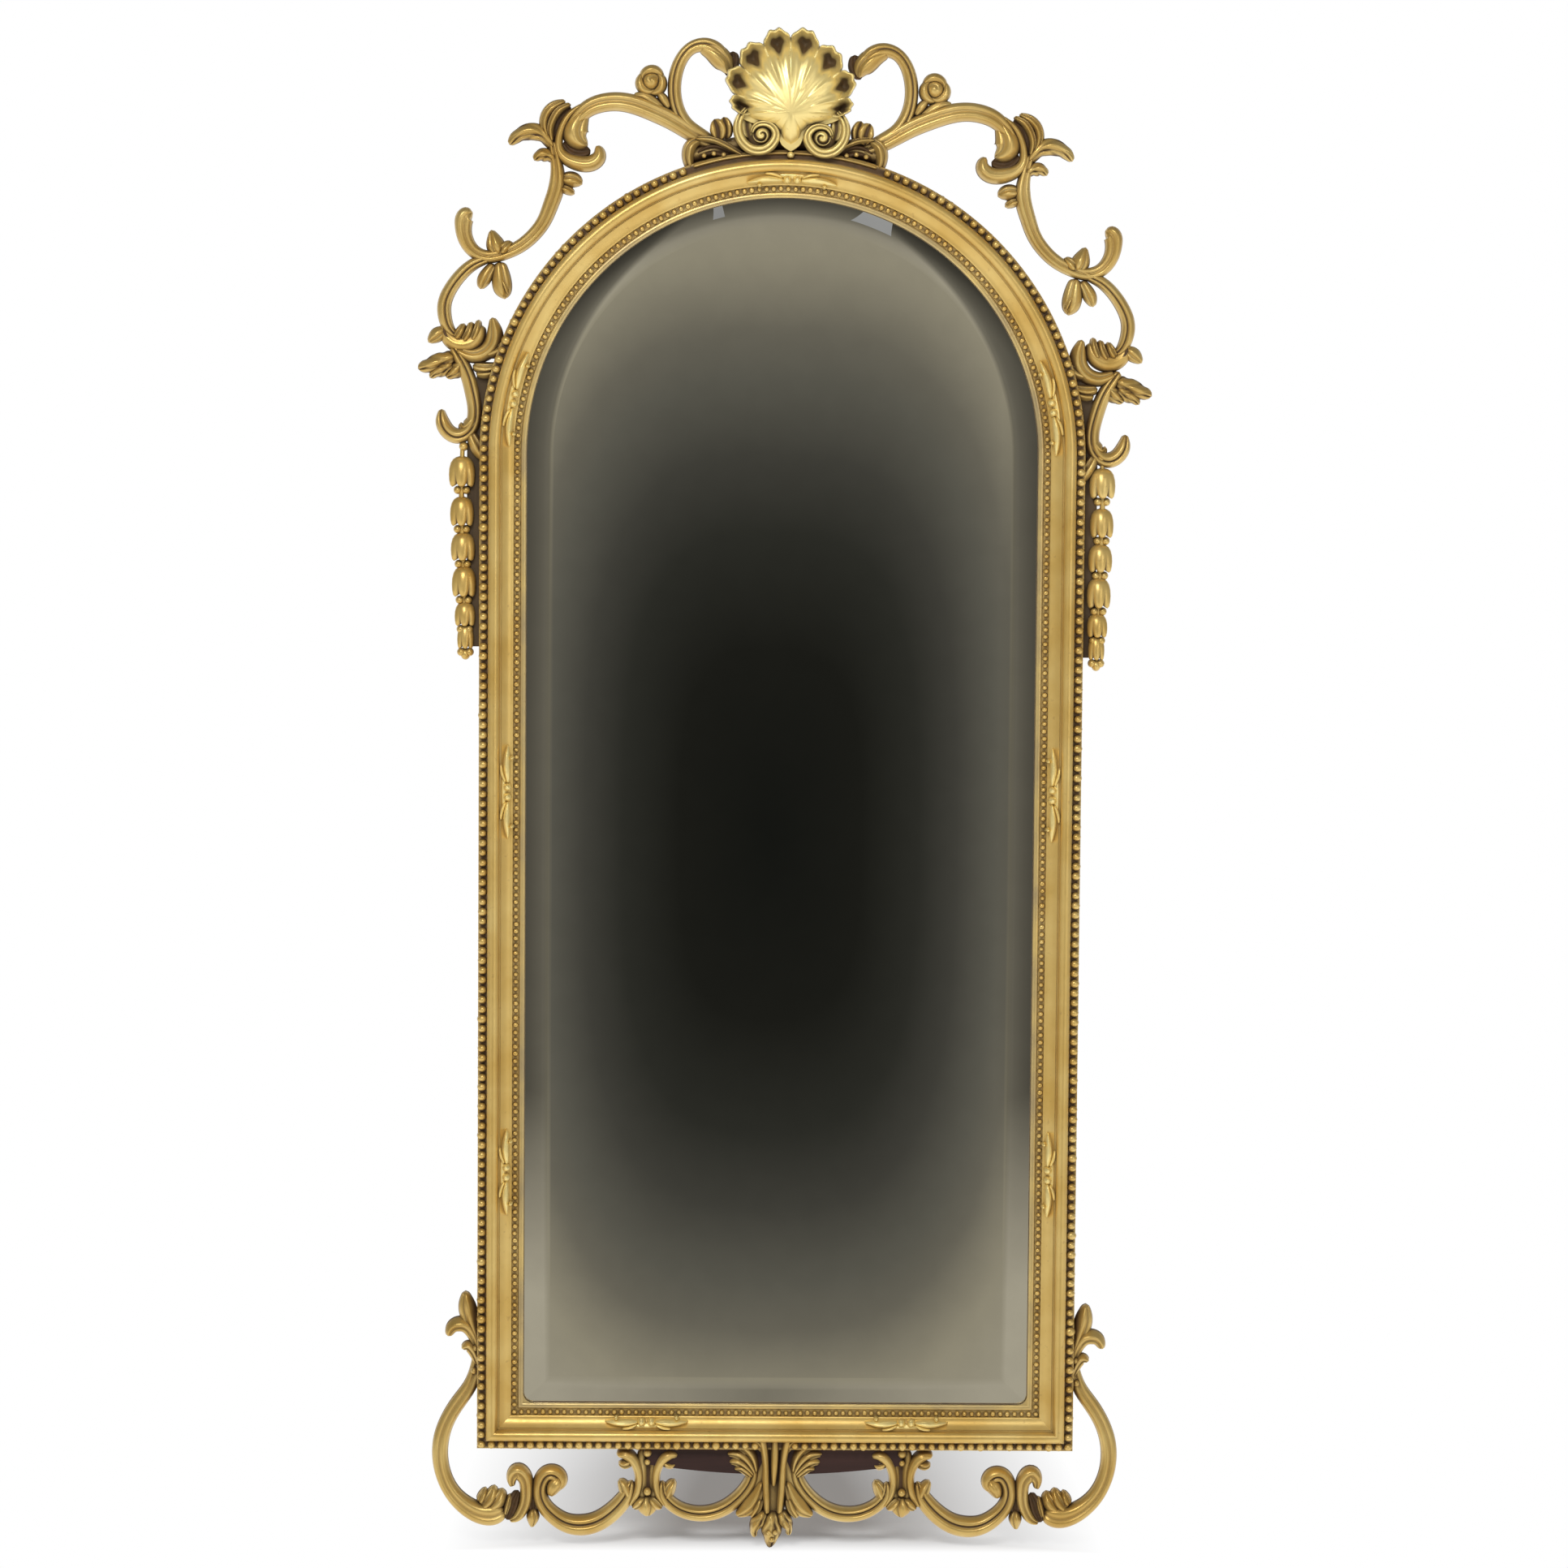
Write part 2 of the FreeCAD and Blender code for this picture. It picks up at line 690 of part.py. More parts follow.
def make_rosette(side):
    """Rose on a leaf, in the fork between loop and scroll."""
    centre = wing_point(70.1, 83.6, side.wing_lean, leaf_depth)
    petals = [boss(centre, 9, 13)]
    for index in range(5):
        turn = math.radians(72 * index + 18)
        petals.append(boss(centre + Vector(math.cos(turn), 0, math.sin(turn)) * 8, 6.5, 9))
    stalk = wing_form(LEAF, side.wing_lean, ((71.7, 42, 8), (70.6, 60, 11), (69.2, 74, 9)))
    return on_side(joined(petals + [stalk]), side)


def make_crest_leaves(side):
    """Acanthus behind the head of the wing: one long tip, two crown lobes and a small lower lobe."""
    lobes = (((54.4, 74, 14), (53, 94, 13), (51.4, 100.6, 12), (49.7, 102.3, 9), (48.5, 101, 4)),
             ((57.2, 84, 12), (56.4, 95, 12), (57.4, 103, 5)),
             ((55.4, 80, 13), (54.8, 95, 12), (55.4, 105, 5)),
             ((54, 66, 9), (51.1, 74, 10), (49.7, 76, 4)))
    return on_side(joined([wing_form(LEAF, side.wing_lean, rows) for rows in lobes]), side)


def make_shoulder_scroll(side):
    """Scroll that leaves the wing's head, sweeps along the arch and curls up at its end."""
    lean = side.wing_lean
    stem = wing_form(SCROLL, lean, ((53.4, 74, 10), (51, 55, 12), (48.1, 37.8, 14), (45.3, 30.3, 14),
                                    (41.8, 27.9, 13), (38.5, 32.3, 12), (35.7, 42.3, 12), (34, 56, 12),
                                    (33.9, 68, 12), (34.9, 79, 13), (36.6, 84, 11)))
    spur = wing_form(LEAF, lean, ((50.6, 50, 10), (52.1, 41.2, 10), (52.7, 32.4, 4)))
    lobe = wing_form(LEAF, lean, ((34.5, 43, 14), (36.1, 51.2, 15), (37.2, 57.4, 5)))
    eye = boss(wing_point(36.3, 81, lean, scroll_depth), 7.5, scroll_height)
    return on_side(joined([stem, spur, lobe, eye]), side)


def make_branch_scroll(side):
    """Outer C scroll at the shoulder, rolled inwards at its foot."""
    lean = side.wing_lean
    stem = wing_form(LOOP, lean, ((34, 36, 8), (32.9, 48, 10), (30.8, 57, 11), (28.2, 62.5, 12),
                                  (25.4, 64.2, 12),
                                  (22.9, 60.8, 13), (20.7, 52.4, 12), (19.5, 42.4, 12), (19.6, 32, 13)))
    eye = boss(wing_point(21.0, 32, lean, loop_depth), 11.5, leaf_height)
    return on_side(stem.fuse(eye), side)


def make_shoulder_buds(side):
    """Two hanging buds where the scrolls part."""
    large = wing_form(LEAF, side.wing_lean, ((34.2, 37, 8), (31.8, 25.6, 15), (29.7, 16.7, 6)))
    small = wing_form(LEAF, side.wing_lean, ((33.2, 42, 8), (30.4, 39.8, 10), (28.7, 40.2, 4)))
    return on_side(group([large, small]), side)


def make_bracket(side):
    """Side bracket: a stem with a hooked foot, and two leaves that reach the frame."""
    lean = side.bracket_lean
    stem = wing_form(LOOP, lean, ((20, 41, 9), (16.2, 30.2, 10), (14, 19.8, 11), (11.3, 12.6, 11),
                                  (8.6, 9.2, 11),
                                  (6.2, 10.7, 12), (4.4, 18.7, 12), (4.2, 29, 11), (5.7, 36.5, 9),
                                  (7.6, 38, 5)))
    upper = wing_form(LEAF, lean, ((17.2, 33, 8), (17.7, 20.5, 11), (19.6, 10.8, 13), (22.2, 8.2, 13),
                                   (24.6, 14.6, 5)))
    lobe = wing_form(LEAF, lean, ((19.6, 13, 12), (21.6, 3, 11), (22.6, -6, 8)))
    lower = wing_form(LEAF, lean, ((15.6, 24, 8), (16.5, 8, 9), (16.6, -6, 7)))
    return on_side(joined([stem, upper, lobe, lower]), side)


def make_bracket_leaves(side):
    """Leaves that stand out from the bracket, and the spur on the branch above them."""
    lean = side.bracket_lean
    tip = wing_form(LEAF, lean, ((17.6, 34, 12), (15, 47, 14), (13.6, 57.4, 14), (12.9, 67, 5)))
    lobe = wing_form(LEAF, lean, ((16.6, 30, 13), (14.6, 32, 14), (13.3, 37, 6)))
    spur = wing_form(LEAF, side.wing_lean, ((21.4, 50, 10), (19.4, 59.4, 11), (18.4, 64, 5)))
    return on_side(group([joined([tip, lobe]), spur]), side)


def make_side_slip(side):
    """Backing slip on the side of the frame, beside the stile and the foot of the arch."""
    reach = outer_radius + slip_width
    foot = -slip_drop - side.husk_shift
    low_corner = Vector(-reach, -carrier_depth - slip_thickness, foot)
    straight = block(low_corner, Vector(-outer_radius, -carrier_depth, 0))
    ring = Part.makeCylinder(reach, slip_thickness, Vector(0, -carrier_depth, 0), TO_ROOM)
    hole = Part.makeCylinder(outer_radius, frame_front, ORIGIN, TO_ROOM)
    angle = math.radians(slip_angle)
    far = reach * 2
    sector = prism([(0, 0), (-far, 0), (-far * math.cos(angle), far * math.sin(angle))], 0, frame_front)
    return on_side(straight.fuse(ring.cut(hole).common(sector)).removeSplitter(), side)


def make_husk_drop(side):
    """Chain of bell husks under a bead, half-round on a flat back, ending in a ball."""
    husks = ((3, 28, 11.5), (40, 26, 10), (73, 26, 10.5), (104, 27, 10.5), (137, 20, 9), (159, 20, 7))
    neck = 2.6
    hem = 2.0
    bead = 4.5
    bead_top = 10.0
    corners = [Vector(0, 0, bead_top),
               (Vector(bead, 0, bead_top - bead), Vector(neck, 0, bead_top - 2 * bead))]
    for drop, length, radius in husks:
        corners.append(Vector(neck, 0, -drop))
        swell = Vector(radius * 0.82, 0, -drop - length * 0.45)
        corners.append((swell, Vector(radius, 0, -drop - length + hem)))
        corners.append(Vector(neck, 0, -drop - length))
    foot = husks[-1][0] + husks[-1][1]
    corners.append((Vector(bead, 0, -foot - bead), Vector(0, 0, -foot - 2 * bead)))
    chain = section_face(corners).revolve(ORIGIN, Vector(0, 0, 1), -HALF_TURN)
    chain.translate(Vector(-outer_radius - slip_width - 3, -carrier_depth - slip_thickness, -side.husk_shift))
    return on_side(chain, side)


def foot_form(style, shift, rows):
    """Carved form at the lower left corner: rows are (out from the side, up from the foot, width)."""
    points = [Vector(-outer_radius - out, -style.depth, -outer_drop + up - shift) for out, up, width in rows]
    return carved(points, [row[2] for row in rows], style.height, style.wire)


def make_corner_scroll(side):
    """Scroll that leaves the stile, goes round the corner and ends in a leaf lobe under the rail."""
    stem = foot_form(SCROLL, 0, ((0, 90, 8), (5, 66, 11), (12, 51, 12), (22, 36, 13), (31, 18, 14),
                                 (35, -3, 14),
                                 (34, -22, 14), (27, -38, 15), (16, -52, 17), (2, -60, 20), (-14, -62, 22),
                                 (-24, -61, 18)))
    lobe = foot_form(LEAF, 0, ((-15, -62, 18), (-18, -47, 14), (-19, -36, 5)))
    return on_side(stem.fuse(lobe), side)


def make_foot_leaves(side):
    """Leaf spray on the stile above the corner scroll."""
    lobes = (((-2, 110, 12), (5, 122, 14), (9, 138, 5)),
             ((-2, 104, 14), (13, 113, 14), (24, 110, 11), (30, 101, 4)),
             ((-2, 98, 12), (7, 94, 11), (14, 88, 4)))
    return on_side(joined([foot_form(LEAF, side.foot_shift, rows) for rows in lobes]), side)


def apron_point(share, drop, depth):
    """Point of the apron's left half: share of the frame's half width and drop below the rail."""
    return Vector(-share * outer_radius, -depth, -outer_drop - drop)


def apron_form(style, rows):
    """Carved form of the apron: rows are (share of the half width, drop below the rail, width)."""
    points = [apron_point(share, drop, style.depth) for share, drop, width in rows]
    return carved(points, [row[2] for row in rows], style.height, style.wire)


def make_s_curl(side):
    """Small curl beside the corner scroll, with the leaf that ties it to the apron."""
    stem = apron_form(LOOP, ((0.92, 66, 8), (0.872, 63, 9), (0.849, 49, 9), (0.856, 35, 11), (0.866, 25, 12)))
    eye = boss(apron_point(0.866, 25, loop_depth), 8.5, loop_height)
    tie = apron_form(LEAF, ((0.86, 62, 8), (0.817, 67, 10), (0.765, 62, 8)))
    return on_side(joined([stem, eye, tie]), side)


def make_apron_outer_scroll(side):
    """Outer C scroll of the apron, with a rolled head."""
    stem = apron_form(SCROLL, ((0.741, 22, 8), (0.779, 32, 12), (0.788, 46, 13), (0.766, 60, 14),
                               (0.716, 70, 15),
                               (0.647, 74, 16), (0.586, 68, 16), (0.532, 56, 15), (0.496, 40, 14),
                               (0.462, 25, 9)))
    eye = boss(apron_point(0.733, 32, scroll_depth), 9.5, scroll_height)
    return on_side(stem.fuse(eye), side)


def make_apron_clasp(side):
    """Leaf clasp between two C scrolls: a hanging leaf, two side sprays and a berry."""
    middle = clasp_share
    style = Style(leaf_wire, scroll_height, loop_depth)
    hang = apron_form(style, ((middle, 1, 14), (middle, 18, 18), (middle, 36, 20), (middle, 51, 20),
                              (middle, 63, 5)))
    berry = boss(apron_point(middle, 7, loop_depth), 5, scroll_height + 2)
    sprays = [apron_form(LEAF, ((middle + sign * 0.01, 19, 10), (middle + sign * 0.06, 15, 11),
                                (middle + sign * 0.095, 7, 4))) for sign in (-1, 1)]
    return on_side(joined([hang, berry] + sprays), side)


def make_apron_inner_scroll(side):
    """Inner C scroll of the apron, with a leafy end beside the drop."""
    stem = apron_form(LEAF._replace(wire=scroll_wire, height=scroll_height),
                      ((0.345, 10, 8), (0.371, 22, 11), (0.367, 36, 13), (0.342, 48, 14), (0.295, 58, 15),
                       (0.234, 62, 15), (0.169, 58, 15), (0.119, 46, 14), (0.09, 30, 13), (0.094, 17, 12),
                       (0.12, 9, 9)))
    eye = boss(apron_point(0.134, 13, leaf_depth), 9, scroll_height)
    return on_side(stem.fuse(eye), side)


def make_apron_board():
    """Wooden segment under the rail, with an arched lower edge."""
    end = clasp_share * outer_radius

    def at(x, drop):
        return Vector(x, -carrier_depth, -outer_drop - drop)

    face = section_face([at(-end, 0), at(-end, apron_board_end_drop),
                         (at(0, apron_board_drop), at(end, apron_board_end_drop)), at(end, 0)])
    return face.extrude(TO_ROOM * apron_board_thickness)


def make_apron_drop():
    """Leaf drop in the middle of the apron, lapped over the rail's pearl seat."""
    depth = apron_board_front
    rows = ((-7, 24), (8, 20), (28, 16), (48, 26), (66, 36), (78, 22), (84, 5))
    points = [Vector(0, -depth, -outer_drop - drop) for drop, width in rows]
    middle = carved(points, [width for drop, width in rows], scroll_height + 4, leaf_wire)
    leaf = apron_form(Style(leaf_wire, leaf_height, depth), ((0.01, 40, 10), (0.065, 52, 12), (0.122, 60, 5)))
    return joined([middle, leaf, mirrored(leaf)])


def spray_form(place, length):
    """Two slender leaves about two berries along the cove; place turns a step along it into a point."""
    leaf_rows = ((0.5, 0.25), (0.36, 0.8), (0.22, 1.0), (0.08, 0.4))
    forms = []
    for sign in (-1, 1):
        points = [place(sign * share * length) for share, wide in leaf_rows]
        widths = [spray_width * wide for share, wide in leaf_rows]
        forms.append(carved(points, widths, 2 * spray_height, leaf_wire))
        forms.append(boss(place(sign * spray_width * 0.4), spray_width * 0.45, 2 * spray_height))
    return joined(forms)


def arch_spray(degrees, length):
    """Spray on the arch, at an angle from the vertical."""
    def place(step):
        turn = math.radians(degrees) + step / cove_middle
        return Vector(cove_middle * math.sin(turn), -spray_depth, cove_middle * math.cos(turn))

    return spray_form(place, length)


def stile_spray(x, drop, length):
    """Spray on a stile, at a drop below the springing."""
    return spray_form(lambda step: Vector(x, -spray_depth, -drop + step), length)


def rail_spray(x, length):
    """Spray on the bottom rail."""
    z = -sight_drop - cove_start - cove_width / 2
    return spray_form(lambda step: Vector(x + step, -spray_depth, z), length)


def build_frame():
    """Members, joinery, plate, back and hangers."""
    dowels = make_frame_dowels()
    keys = make_mitre_keys()
    fixings = make_ornament_dowels()
    points = make_glazing_points()
    screws = make_hanger_screws()
    arch = make_arch()
    stile = make_stile()
    cutters = [dowels, keys, fixings, points, screws]
    members = {
        "arch_left": mirrored(arch), "arch_right": arch,
        "stile_left": mirrored(stile), "stile_right": stile,
        "bottom_rail": make_rail(),
    }
    members = {node: member.cut(cutters) for node, member in members.items()}
    for node, member in members.items():
        save(member, node)
    outer = make_outer_beading()
    inner = make_inner_beading()
    for place, outer_strip, inner_strip in zip(("arch", "stiles", "rail"), outer, inner):
        save(outer_strip, "outer_beading_" + place)
        save(inner_strip, "inner_beading_" + place)
    save(dowels, "frame_dowels")
    save(keys, "mitre_keys")
    save(fixings, "ornament_dowels")
    save(make_mirror_plate(), "mirror_plate")
    save(make_glass_spacers(), "glass_spacers")
    save(make_backboard(), "backboard")
    save(points, "glazing_points")
    save(screws, "hanger_screws")
    save(make_wall_bumpers(), "wall_bumpers")
    for x, name in ((-hanger_line, "left"), (hanger_line, "right")):
        save(strap_at(x), "hanger_strap_" + name)
        save(ring_at(x), "hanger_ring_" + name)
    return members, fixings


def build_sprays(members):
    """Applied sprays, bedded on the cove of the members that carry them."""
    arches = [members["arch_left"], members["arch_right"]]
    save(bedded(arch_spray(1.5, 84), arches), "crown_spray")
    shoulder = [bedded(arch_spray(angle, 90), arches) for angle in (-78.5, 79.5)]
    save(group(shoulder), "shoulder_sprays")
    stile = []
    for x, name in ((-cove_middle, "stile_left"), (cove_middle, "stile_right")):
        for drop, length in ((311, 88), (665, 81)):
            stile.append(bedded(stile_spray(x, drop, length), [members[name]]))
    save(group(stile), "stile_sprays")
    rail = [bedded(rail_spray(x, 78), [members["bottom_rail"]]) for x in (-120, 122)]
    save(group(rail), "rail_sprays")


def build_crest():
    """Shell and volutes on the crest plate."""
    shell = make_shell()
    save(shell, "shell")
    left = make_volute()
    right = mirrored(left)
    right.translate(Vector(2 * shell_offset, 0, 0))
    volutes = [seated(volute, [shell]) for volute in (left, right)]
    save(group(volutes), "volutes")
    return [shell] + volutes


def build_side(side, name, envelope, crest):
    """Wing, bracket and husks of one side; returns what shares a node with the other side."""
    scroll = seated(make_crest_scroll(side), [envelope] + crest)
    save(scroll, "crest_scroll_" + name)
    loop = seated(make_crest_loop(side), [envelope, scroll] + crest)
    save(loop, "crest_loop_" + name)
    rosette = seated(make_rosette(side), [scroll, loop])
    shoulder = seated(make_shoulder_scroll(side), [envelope, scroll])
    save(shoulder, "shoulder_scroll_" + name)
    leaves = seated(make_crest_leaves(side), [scroll, shoulder])
    branch = seated(make_branch_scroll(side), [envelope, shoulder])
    save(branch, "branch_scroll_" + name)
    buds = seated(make_shoulder_buds(side), [shoulder, branch])
    slip = make_side_slip(side)
    husks = make_husk_drop(side)
    save(husks, "husk_drop_" + name)
    bracket = seated(make_bracket(side), [envelope, slip, branch, husks])
    save(bracket, "bracket_" + name)
    bracket_leaves = seated(make_bracket_leaves(side), [branch, bracket, slip])
    return {"rosettes": rosette, "crest_leaves": leaves, "shoulder_buds": buds,
            "bracket_leaves": bracket_leaves, "side_slips": slip}


def build_foot(side, name, envelope, board):
    """Corner scroll and apron of one side; returns what shares a node with the other side."""
    corner = seated(make_corner_scroll(side), [envelope])
    save(corner, "corner_scroll_" + name)
    leaves = seated(make_foot_leaves(side), [envelope, corner])
    outer = seated(make_apron_outer_scroll(side), [envelope, board])
    save(outer, "apron_outer_scroll_" + name)
    curl = seated(make_s_curl(side), [envelope, corner, outer])
    clasp = seated(make_apron_clasp(side), [envelope, board, outer])
    inner = seated(make_apron_inner_scroll(side), [envelope, board, clasp])
    save(inner, "apron_inner_scroll_" + name)
    return {"foot_leaves": leaves, "s_curls": curl, "apron_clasps": clasp}, inner


def build_ornament(members, fixings):
    """All carving round the frame."""
    envelope = frame_envelope()
    plate = make_crest_plate().cut(fixings)
    save(plate, "crest_plate")
    crest = [plate] + build_crest()
    board = make_apron_board().cut(fixings)
    save(board, "apron_board")
    pairs = {}
    inner_scrolls = []
    for side, name in ((LEFT, "left"), (RIGHT, "right")):
        shared = build_side(side, name, envelope, crest)
        foot, inner = build_foot(side, name, envelope, board)
        inner_scrolls.append(inner)
        for node, piece in {**shared, **foot}.items():
            pairs.setdefault(node, []).append(piece)
    for node, pieces in pairs.items():
        save(group(pieces), node)
    save(seated(make_apron_drop(), [members["bottom_rail"], board] + inner_scrolls), "apron_drop")


os.makedirs("parts", exist_ok=True)
frame_members, frame_fixings = build_frame()
build_sprays(frame_members)
build_ornament(frame_members, frame_fixings)
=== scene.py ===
"""Gilt mirror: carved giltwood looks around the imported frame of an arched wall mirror."""

import json
import math

import bpy
import numpy as np
from bpy.props import FloatProperty, FloatVectorProperty, PointerProperty
from mathutils import Matrix, Vector


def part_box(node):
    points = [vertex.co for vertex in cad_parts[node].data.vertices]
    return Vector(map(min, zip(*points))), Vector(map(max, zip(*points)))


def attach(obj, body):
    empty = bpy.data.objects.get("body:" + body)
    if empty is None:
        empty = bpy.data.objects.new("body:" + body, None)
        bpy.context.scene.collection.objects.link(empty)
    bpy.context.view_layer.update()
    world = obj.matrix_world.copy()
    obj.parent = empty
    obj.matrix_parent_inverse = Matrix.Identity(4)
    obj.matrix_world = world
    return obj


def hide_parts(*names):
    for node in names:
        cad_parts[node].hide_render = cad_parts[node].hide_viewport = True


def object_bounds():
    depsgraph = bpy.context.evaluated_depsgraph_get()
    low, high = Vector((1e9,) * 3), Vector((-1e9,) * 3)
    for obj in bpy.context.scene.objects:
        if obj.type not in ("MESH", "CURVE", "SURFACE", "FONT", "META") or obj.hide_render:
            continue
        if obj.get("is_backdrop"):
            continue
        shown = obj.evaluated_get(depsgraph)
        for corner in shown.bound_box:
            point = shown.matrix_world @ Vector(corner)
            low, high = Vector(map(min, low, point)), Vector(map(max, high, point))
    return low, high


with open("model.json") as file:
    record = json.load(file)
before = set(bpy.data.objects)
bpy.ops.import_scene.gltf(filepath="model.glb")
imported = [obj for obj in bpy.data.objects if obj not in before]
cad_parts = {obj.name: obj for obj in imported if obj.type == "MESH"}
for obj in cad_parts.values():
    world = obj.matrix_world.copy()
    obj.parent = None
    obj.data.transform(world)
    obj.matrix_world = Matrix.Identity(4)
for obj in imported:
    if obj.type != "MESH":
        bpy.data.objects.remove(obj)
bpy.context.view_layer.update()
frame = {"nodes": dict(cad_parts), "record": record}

bl_info = {
    "name": "Gilt Mirror",
    "version": (1, 0, 0),
    "blender": (4, 5, 0),
    "location": "View3D > Sidebar > Gilt Mirror",
    "description": "Builds the carved gilding, the bevelled plate and the stage of an arched wall mirror",
    "category": "Object",
}

MM = 0.001
IMAGE_SIZE = 1932
SENSOR = 36.0
GLASS_LOW, GLASS_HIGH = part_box("mirror_plate")
STILE_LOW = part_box("stile_right")[0]
WALL_GAP = -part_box("arch_right")[1].y / MM
MOULDING_WIDTH = 43.0
SPRAY_LINE = 16.8
FRONT_POINTS = 19
SIDES = ((False, "left"), (True, "right"))


class MirrorSizes(bpy.types.PropertyGroup):
    """Sizes of the moulding, the plate and the carving."""

    sight_radius: FloatProperty(
        name="Sight radius", description="Radius of the visible glass in the arch",
        default=STILE_LOW.x, unit="LENGTH")
    foot: FloatProperty(
        name="Foot", description="Drop from the arch centre to the bottom of the frame",
        default=-STILE_LOW.z, unit="LENGTH")
    bevel: FloatProperty(
        name="Bevel", description="Visible width of the bevel of the plate",
        default=0.0245, unit="LENGTH")
    outer_pearl: FloatProperty(
        name="Outer pearl", description="Radius of the large pearls",
        default=0.0043, unit="LENGTH")
    outer_pitch: FloatProperty(
        name="Outer pitch", description="Distance from one large pearl to the next",
        default=0.0091, unit="LENGTH")
    inner_pearl: FloatProperty(
        name="Inner pearl", description="Radius of the small pearls",
        default=0.0026, unit="LENGTH")
    inner_pitch: FloatProperty(
        name="Inner pitch", description="Distance from one small pearl to the next",
        default=0.00675, unit="LENGTH")
    grain: FloatProperty(
        name="Carving step", description="Distance between rings of the carved forms",
        default=0.0013, unit="LENGTH")


class MirrorFinishes(bpy.types.PropertyGroup):
    """Colours of the gilding, the woods, the metal and the plate."""

    leaf: FloatVectorProperty(
        name="Gold leaf", description="Gilding of the carving in the light", subtype="COLOR", size=3,
        default=(0.58, 0.36, 0.085))
    frame_leaf: FloatVectorProperty(
        name="Frame leaf", description="Brighter gilding of the moulding", subtype="COLOR", size=3,
        default=(0.68, 0.43, 0.105))
    pale_leaf: FloatVectorProperty(
        name="Pale leaf", description="Gilding where it is burnished", subtype="COLOR", size=3,
        default=(0.84, 0.61, 0.215))
    # Bright leaf of the shell and the sprays: burnished, and painted brighter to stand for their highlights.
    burnished: FloatVectorProperty(
        name="Burnished leaf", description="Brighter gilding of the shell", subtype="COLOR", size=3,
        default=(1.0, 0.80, 0.32))
    bole: FloatVectorProperty(
        name="Bole", description="Red-brown ground under worn leaf", subtype="COLOR", size=3,
        default=(0.33, 0.16, 0.055))
    # Brown of the recesses: patina, and also painted shade at low edges, in hollows and between close parts.
    patina_and_shade: FloatVectorProperty(
        name="Patina", description="Brown dirt in the recesses", subtype="COLOR", size=3,
        default=(0.045, 0.02, 0.008))
    lip: FloatVectorProperty(
        name="Sight lip", description="Pale edge beside the glass", subtype="COLOR", size=3,
        default=(0.50, 0.38, 0.19))
    stained_wood: FloatVectorProperty(
        name="Stained wood", description="Red-brown backing wood", subtype="COLOR", size=3,
        default=(0.034, 0.009, 0.005))
    toned_wood: FloatVectorProperty(
        name="Toned wood", description="Slips beside the husks, toned a dull brown", subtype="COLOR", size=3,
        default=(0.085, 0.052, 0.02))
    bare_wood: FloatVectorProperty(
        name="Bare wood", description="Unfinished wood of the back", subtype="COLOR", size=3,
        default=(0.36, 0.22, 0.11))
    steel: FloatVectorProperty(
        name="Steel", description="Hangers, screws and points", subtype="COLOR", size=3,
        default=(0.42, 0.41, 0.39))
    felt: FloatVectorProperty(
        name="Felt", description="Pads on the back", subtype="COLOR", size=3,
        default=(0.05, 0.045, 0.04))
    silver: FloatVectorProperty(
        name="Silvering", description="Tint of the mirror", subtype="COLOR", size=3,
        default=(0.86, 0.86, 0.83))


class MirrorStage(bpy.types.PropertyGroup):
    """Camera and light of the photograph's view."""

    focal_pixels: FloatProperty(
        name="Focal length", description="Focal length in pixels of the square image", default=6000.0)
    camera_yaw: FloatProperty(
        name="Yaw", description="Turn of the camera about the vertical", subtype="ANGLE",
        default=math.radians(-0.811))
    camera_pitch: FloatProperty(
        name="Pitch", description="Downward tilt of the camera", subtype="ANGLE",
        default=math.radians(4.822))
    camera_roll: FloatProperty(
        name="Roll", description="Roll of the camera", subtype="ANGLE", default=math.radians(0.455))
    arch_in_view: FloatVectorProperty(
        name="Arch in view", description="Arch centre in the camera's own axes: right, down and forward",
        size=3, unit="LENGTH", default=(-0.0012, -0.3017, 4.4719))
    key_power: FloatProperty(
        name="Key light", description="Power of the large front light", default=66.0)
    fill_power: FloatProperty(
        name="Fill light", description="Power of the side light", default=12.0)
    room_light: FloatProperty(
        name="Room light", description="Strength of the even light of the room", default=0.62)


def sizes():
    """Size settings of the scene."""
    return bpy.context.scene.gilt_mirror_sizes


def finishes():
    """Colour settings of the scene."""
    return bpy.context.scene.gilt_mirror_finishes


def sight_edge():
    """Sight radius, and the drop from the arch centre to the lower sight edge, in millimetres."""
    return sizes().sight_radius / MM, sizes().foot / MM - MOULDING_WIDTH


# Plain curves and carved forms, in millimetres: x to the right, z up, y towards the wall


def spline(knots, values, samples):
    """Natural cubic spline through given rows of values."""
    count = len(knots)
    if count < 3:
        return np.stack([np.interp(samples, knots, column) for column in values.T], 1)
    gaps = np.diff(knots)
    system = np.eye(count)
    right = np.zeros_like(values)
    for i in range(1, count - 1):
        system[i, i - 1:i + 2] = gaps[i - 1], 2 * (gaps[i - 1] + gaps[i]), gaps[i]
        right[i] = 6 * ((values[i + 1] - values[i]) / gaps[i] - (values[i] - values[i - 1]) / gaps[i - 1])
    bend = np.linalg.solve(system, right)
    spot = np.clip(np.searchsorted(knots, samples) - 1, 0, count - 2)
    gap = gaps[spot][:, None]
    ahead = (knots[spot + 1] - samples)[:, None] / gap
    behind = 1 - ahead
    curve = (ahead ** 3 - ahead) * bend[spot] + (behind ** 3 - behind) * bend[spot + 1]
    return ahead * values[spot] + behind * values[spot + 1] + curve * gap ** 2 / 6


def traced(rows, step):
    """Even samples along rows of (x, z, width, ...): rows, tangents and distance along."""
    rows = np.array(rows, float)
    knots = np.concatenate([[0], np.cumsum(np.hypot(*np.diff(rows[:, :2], axis=0).T))])
    count = max(6, int(knots[-1] / step))
    along = np.linspace(0, knots[-1], count)
    path = spline(knots, rows, along)
    slope = np.gradient(path[:, :2], axis=0)
    slope /= np.hypot(slope[:, 0], slope[:, 1])[:, None]
    return path, slope, along / knots[-1]


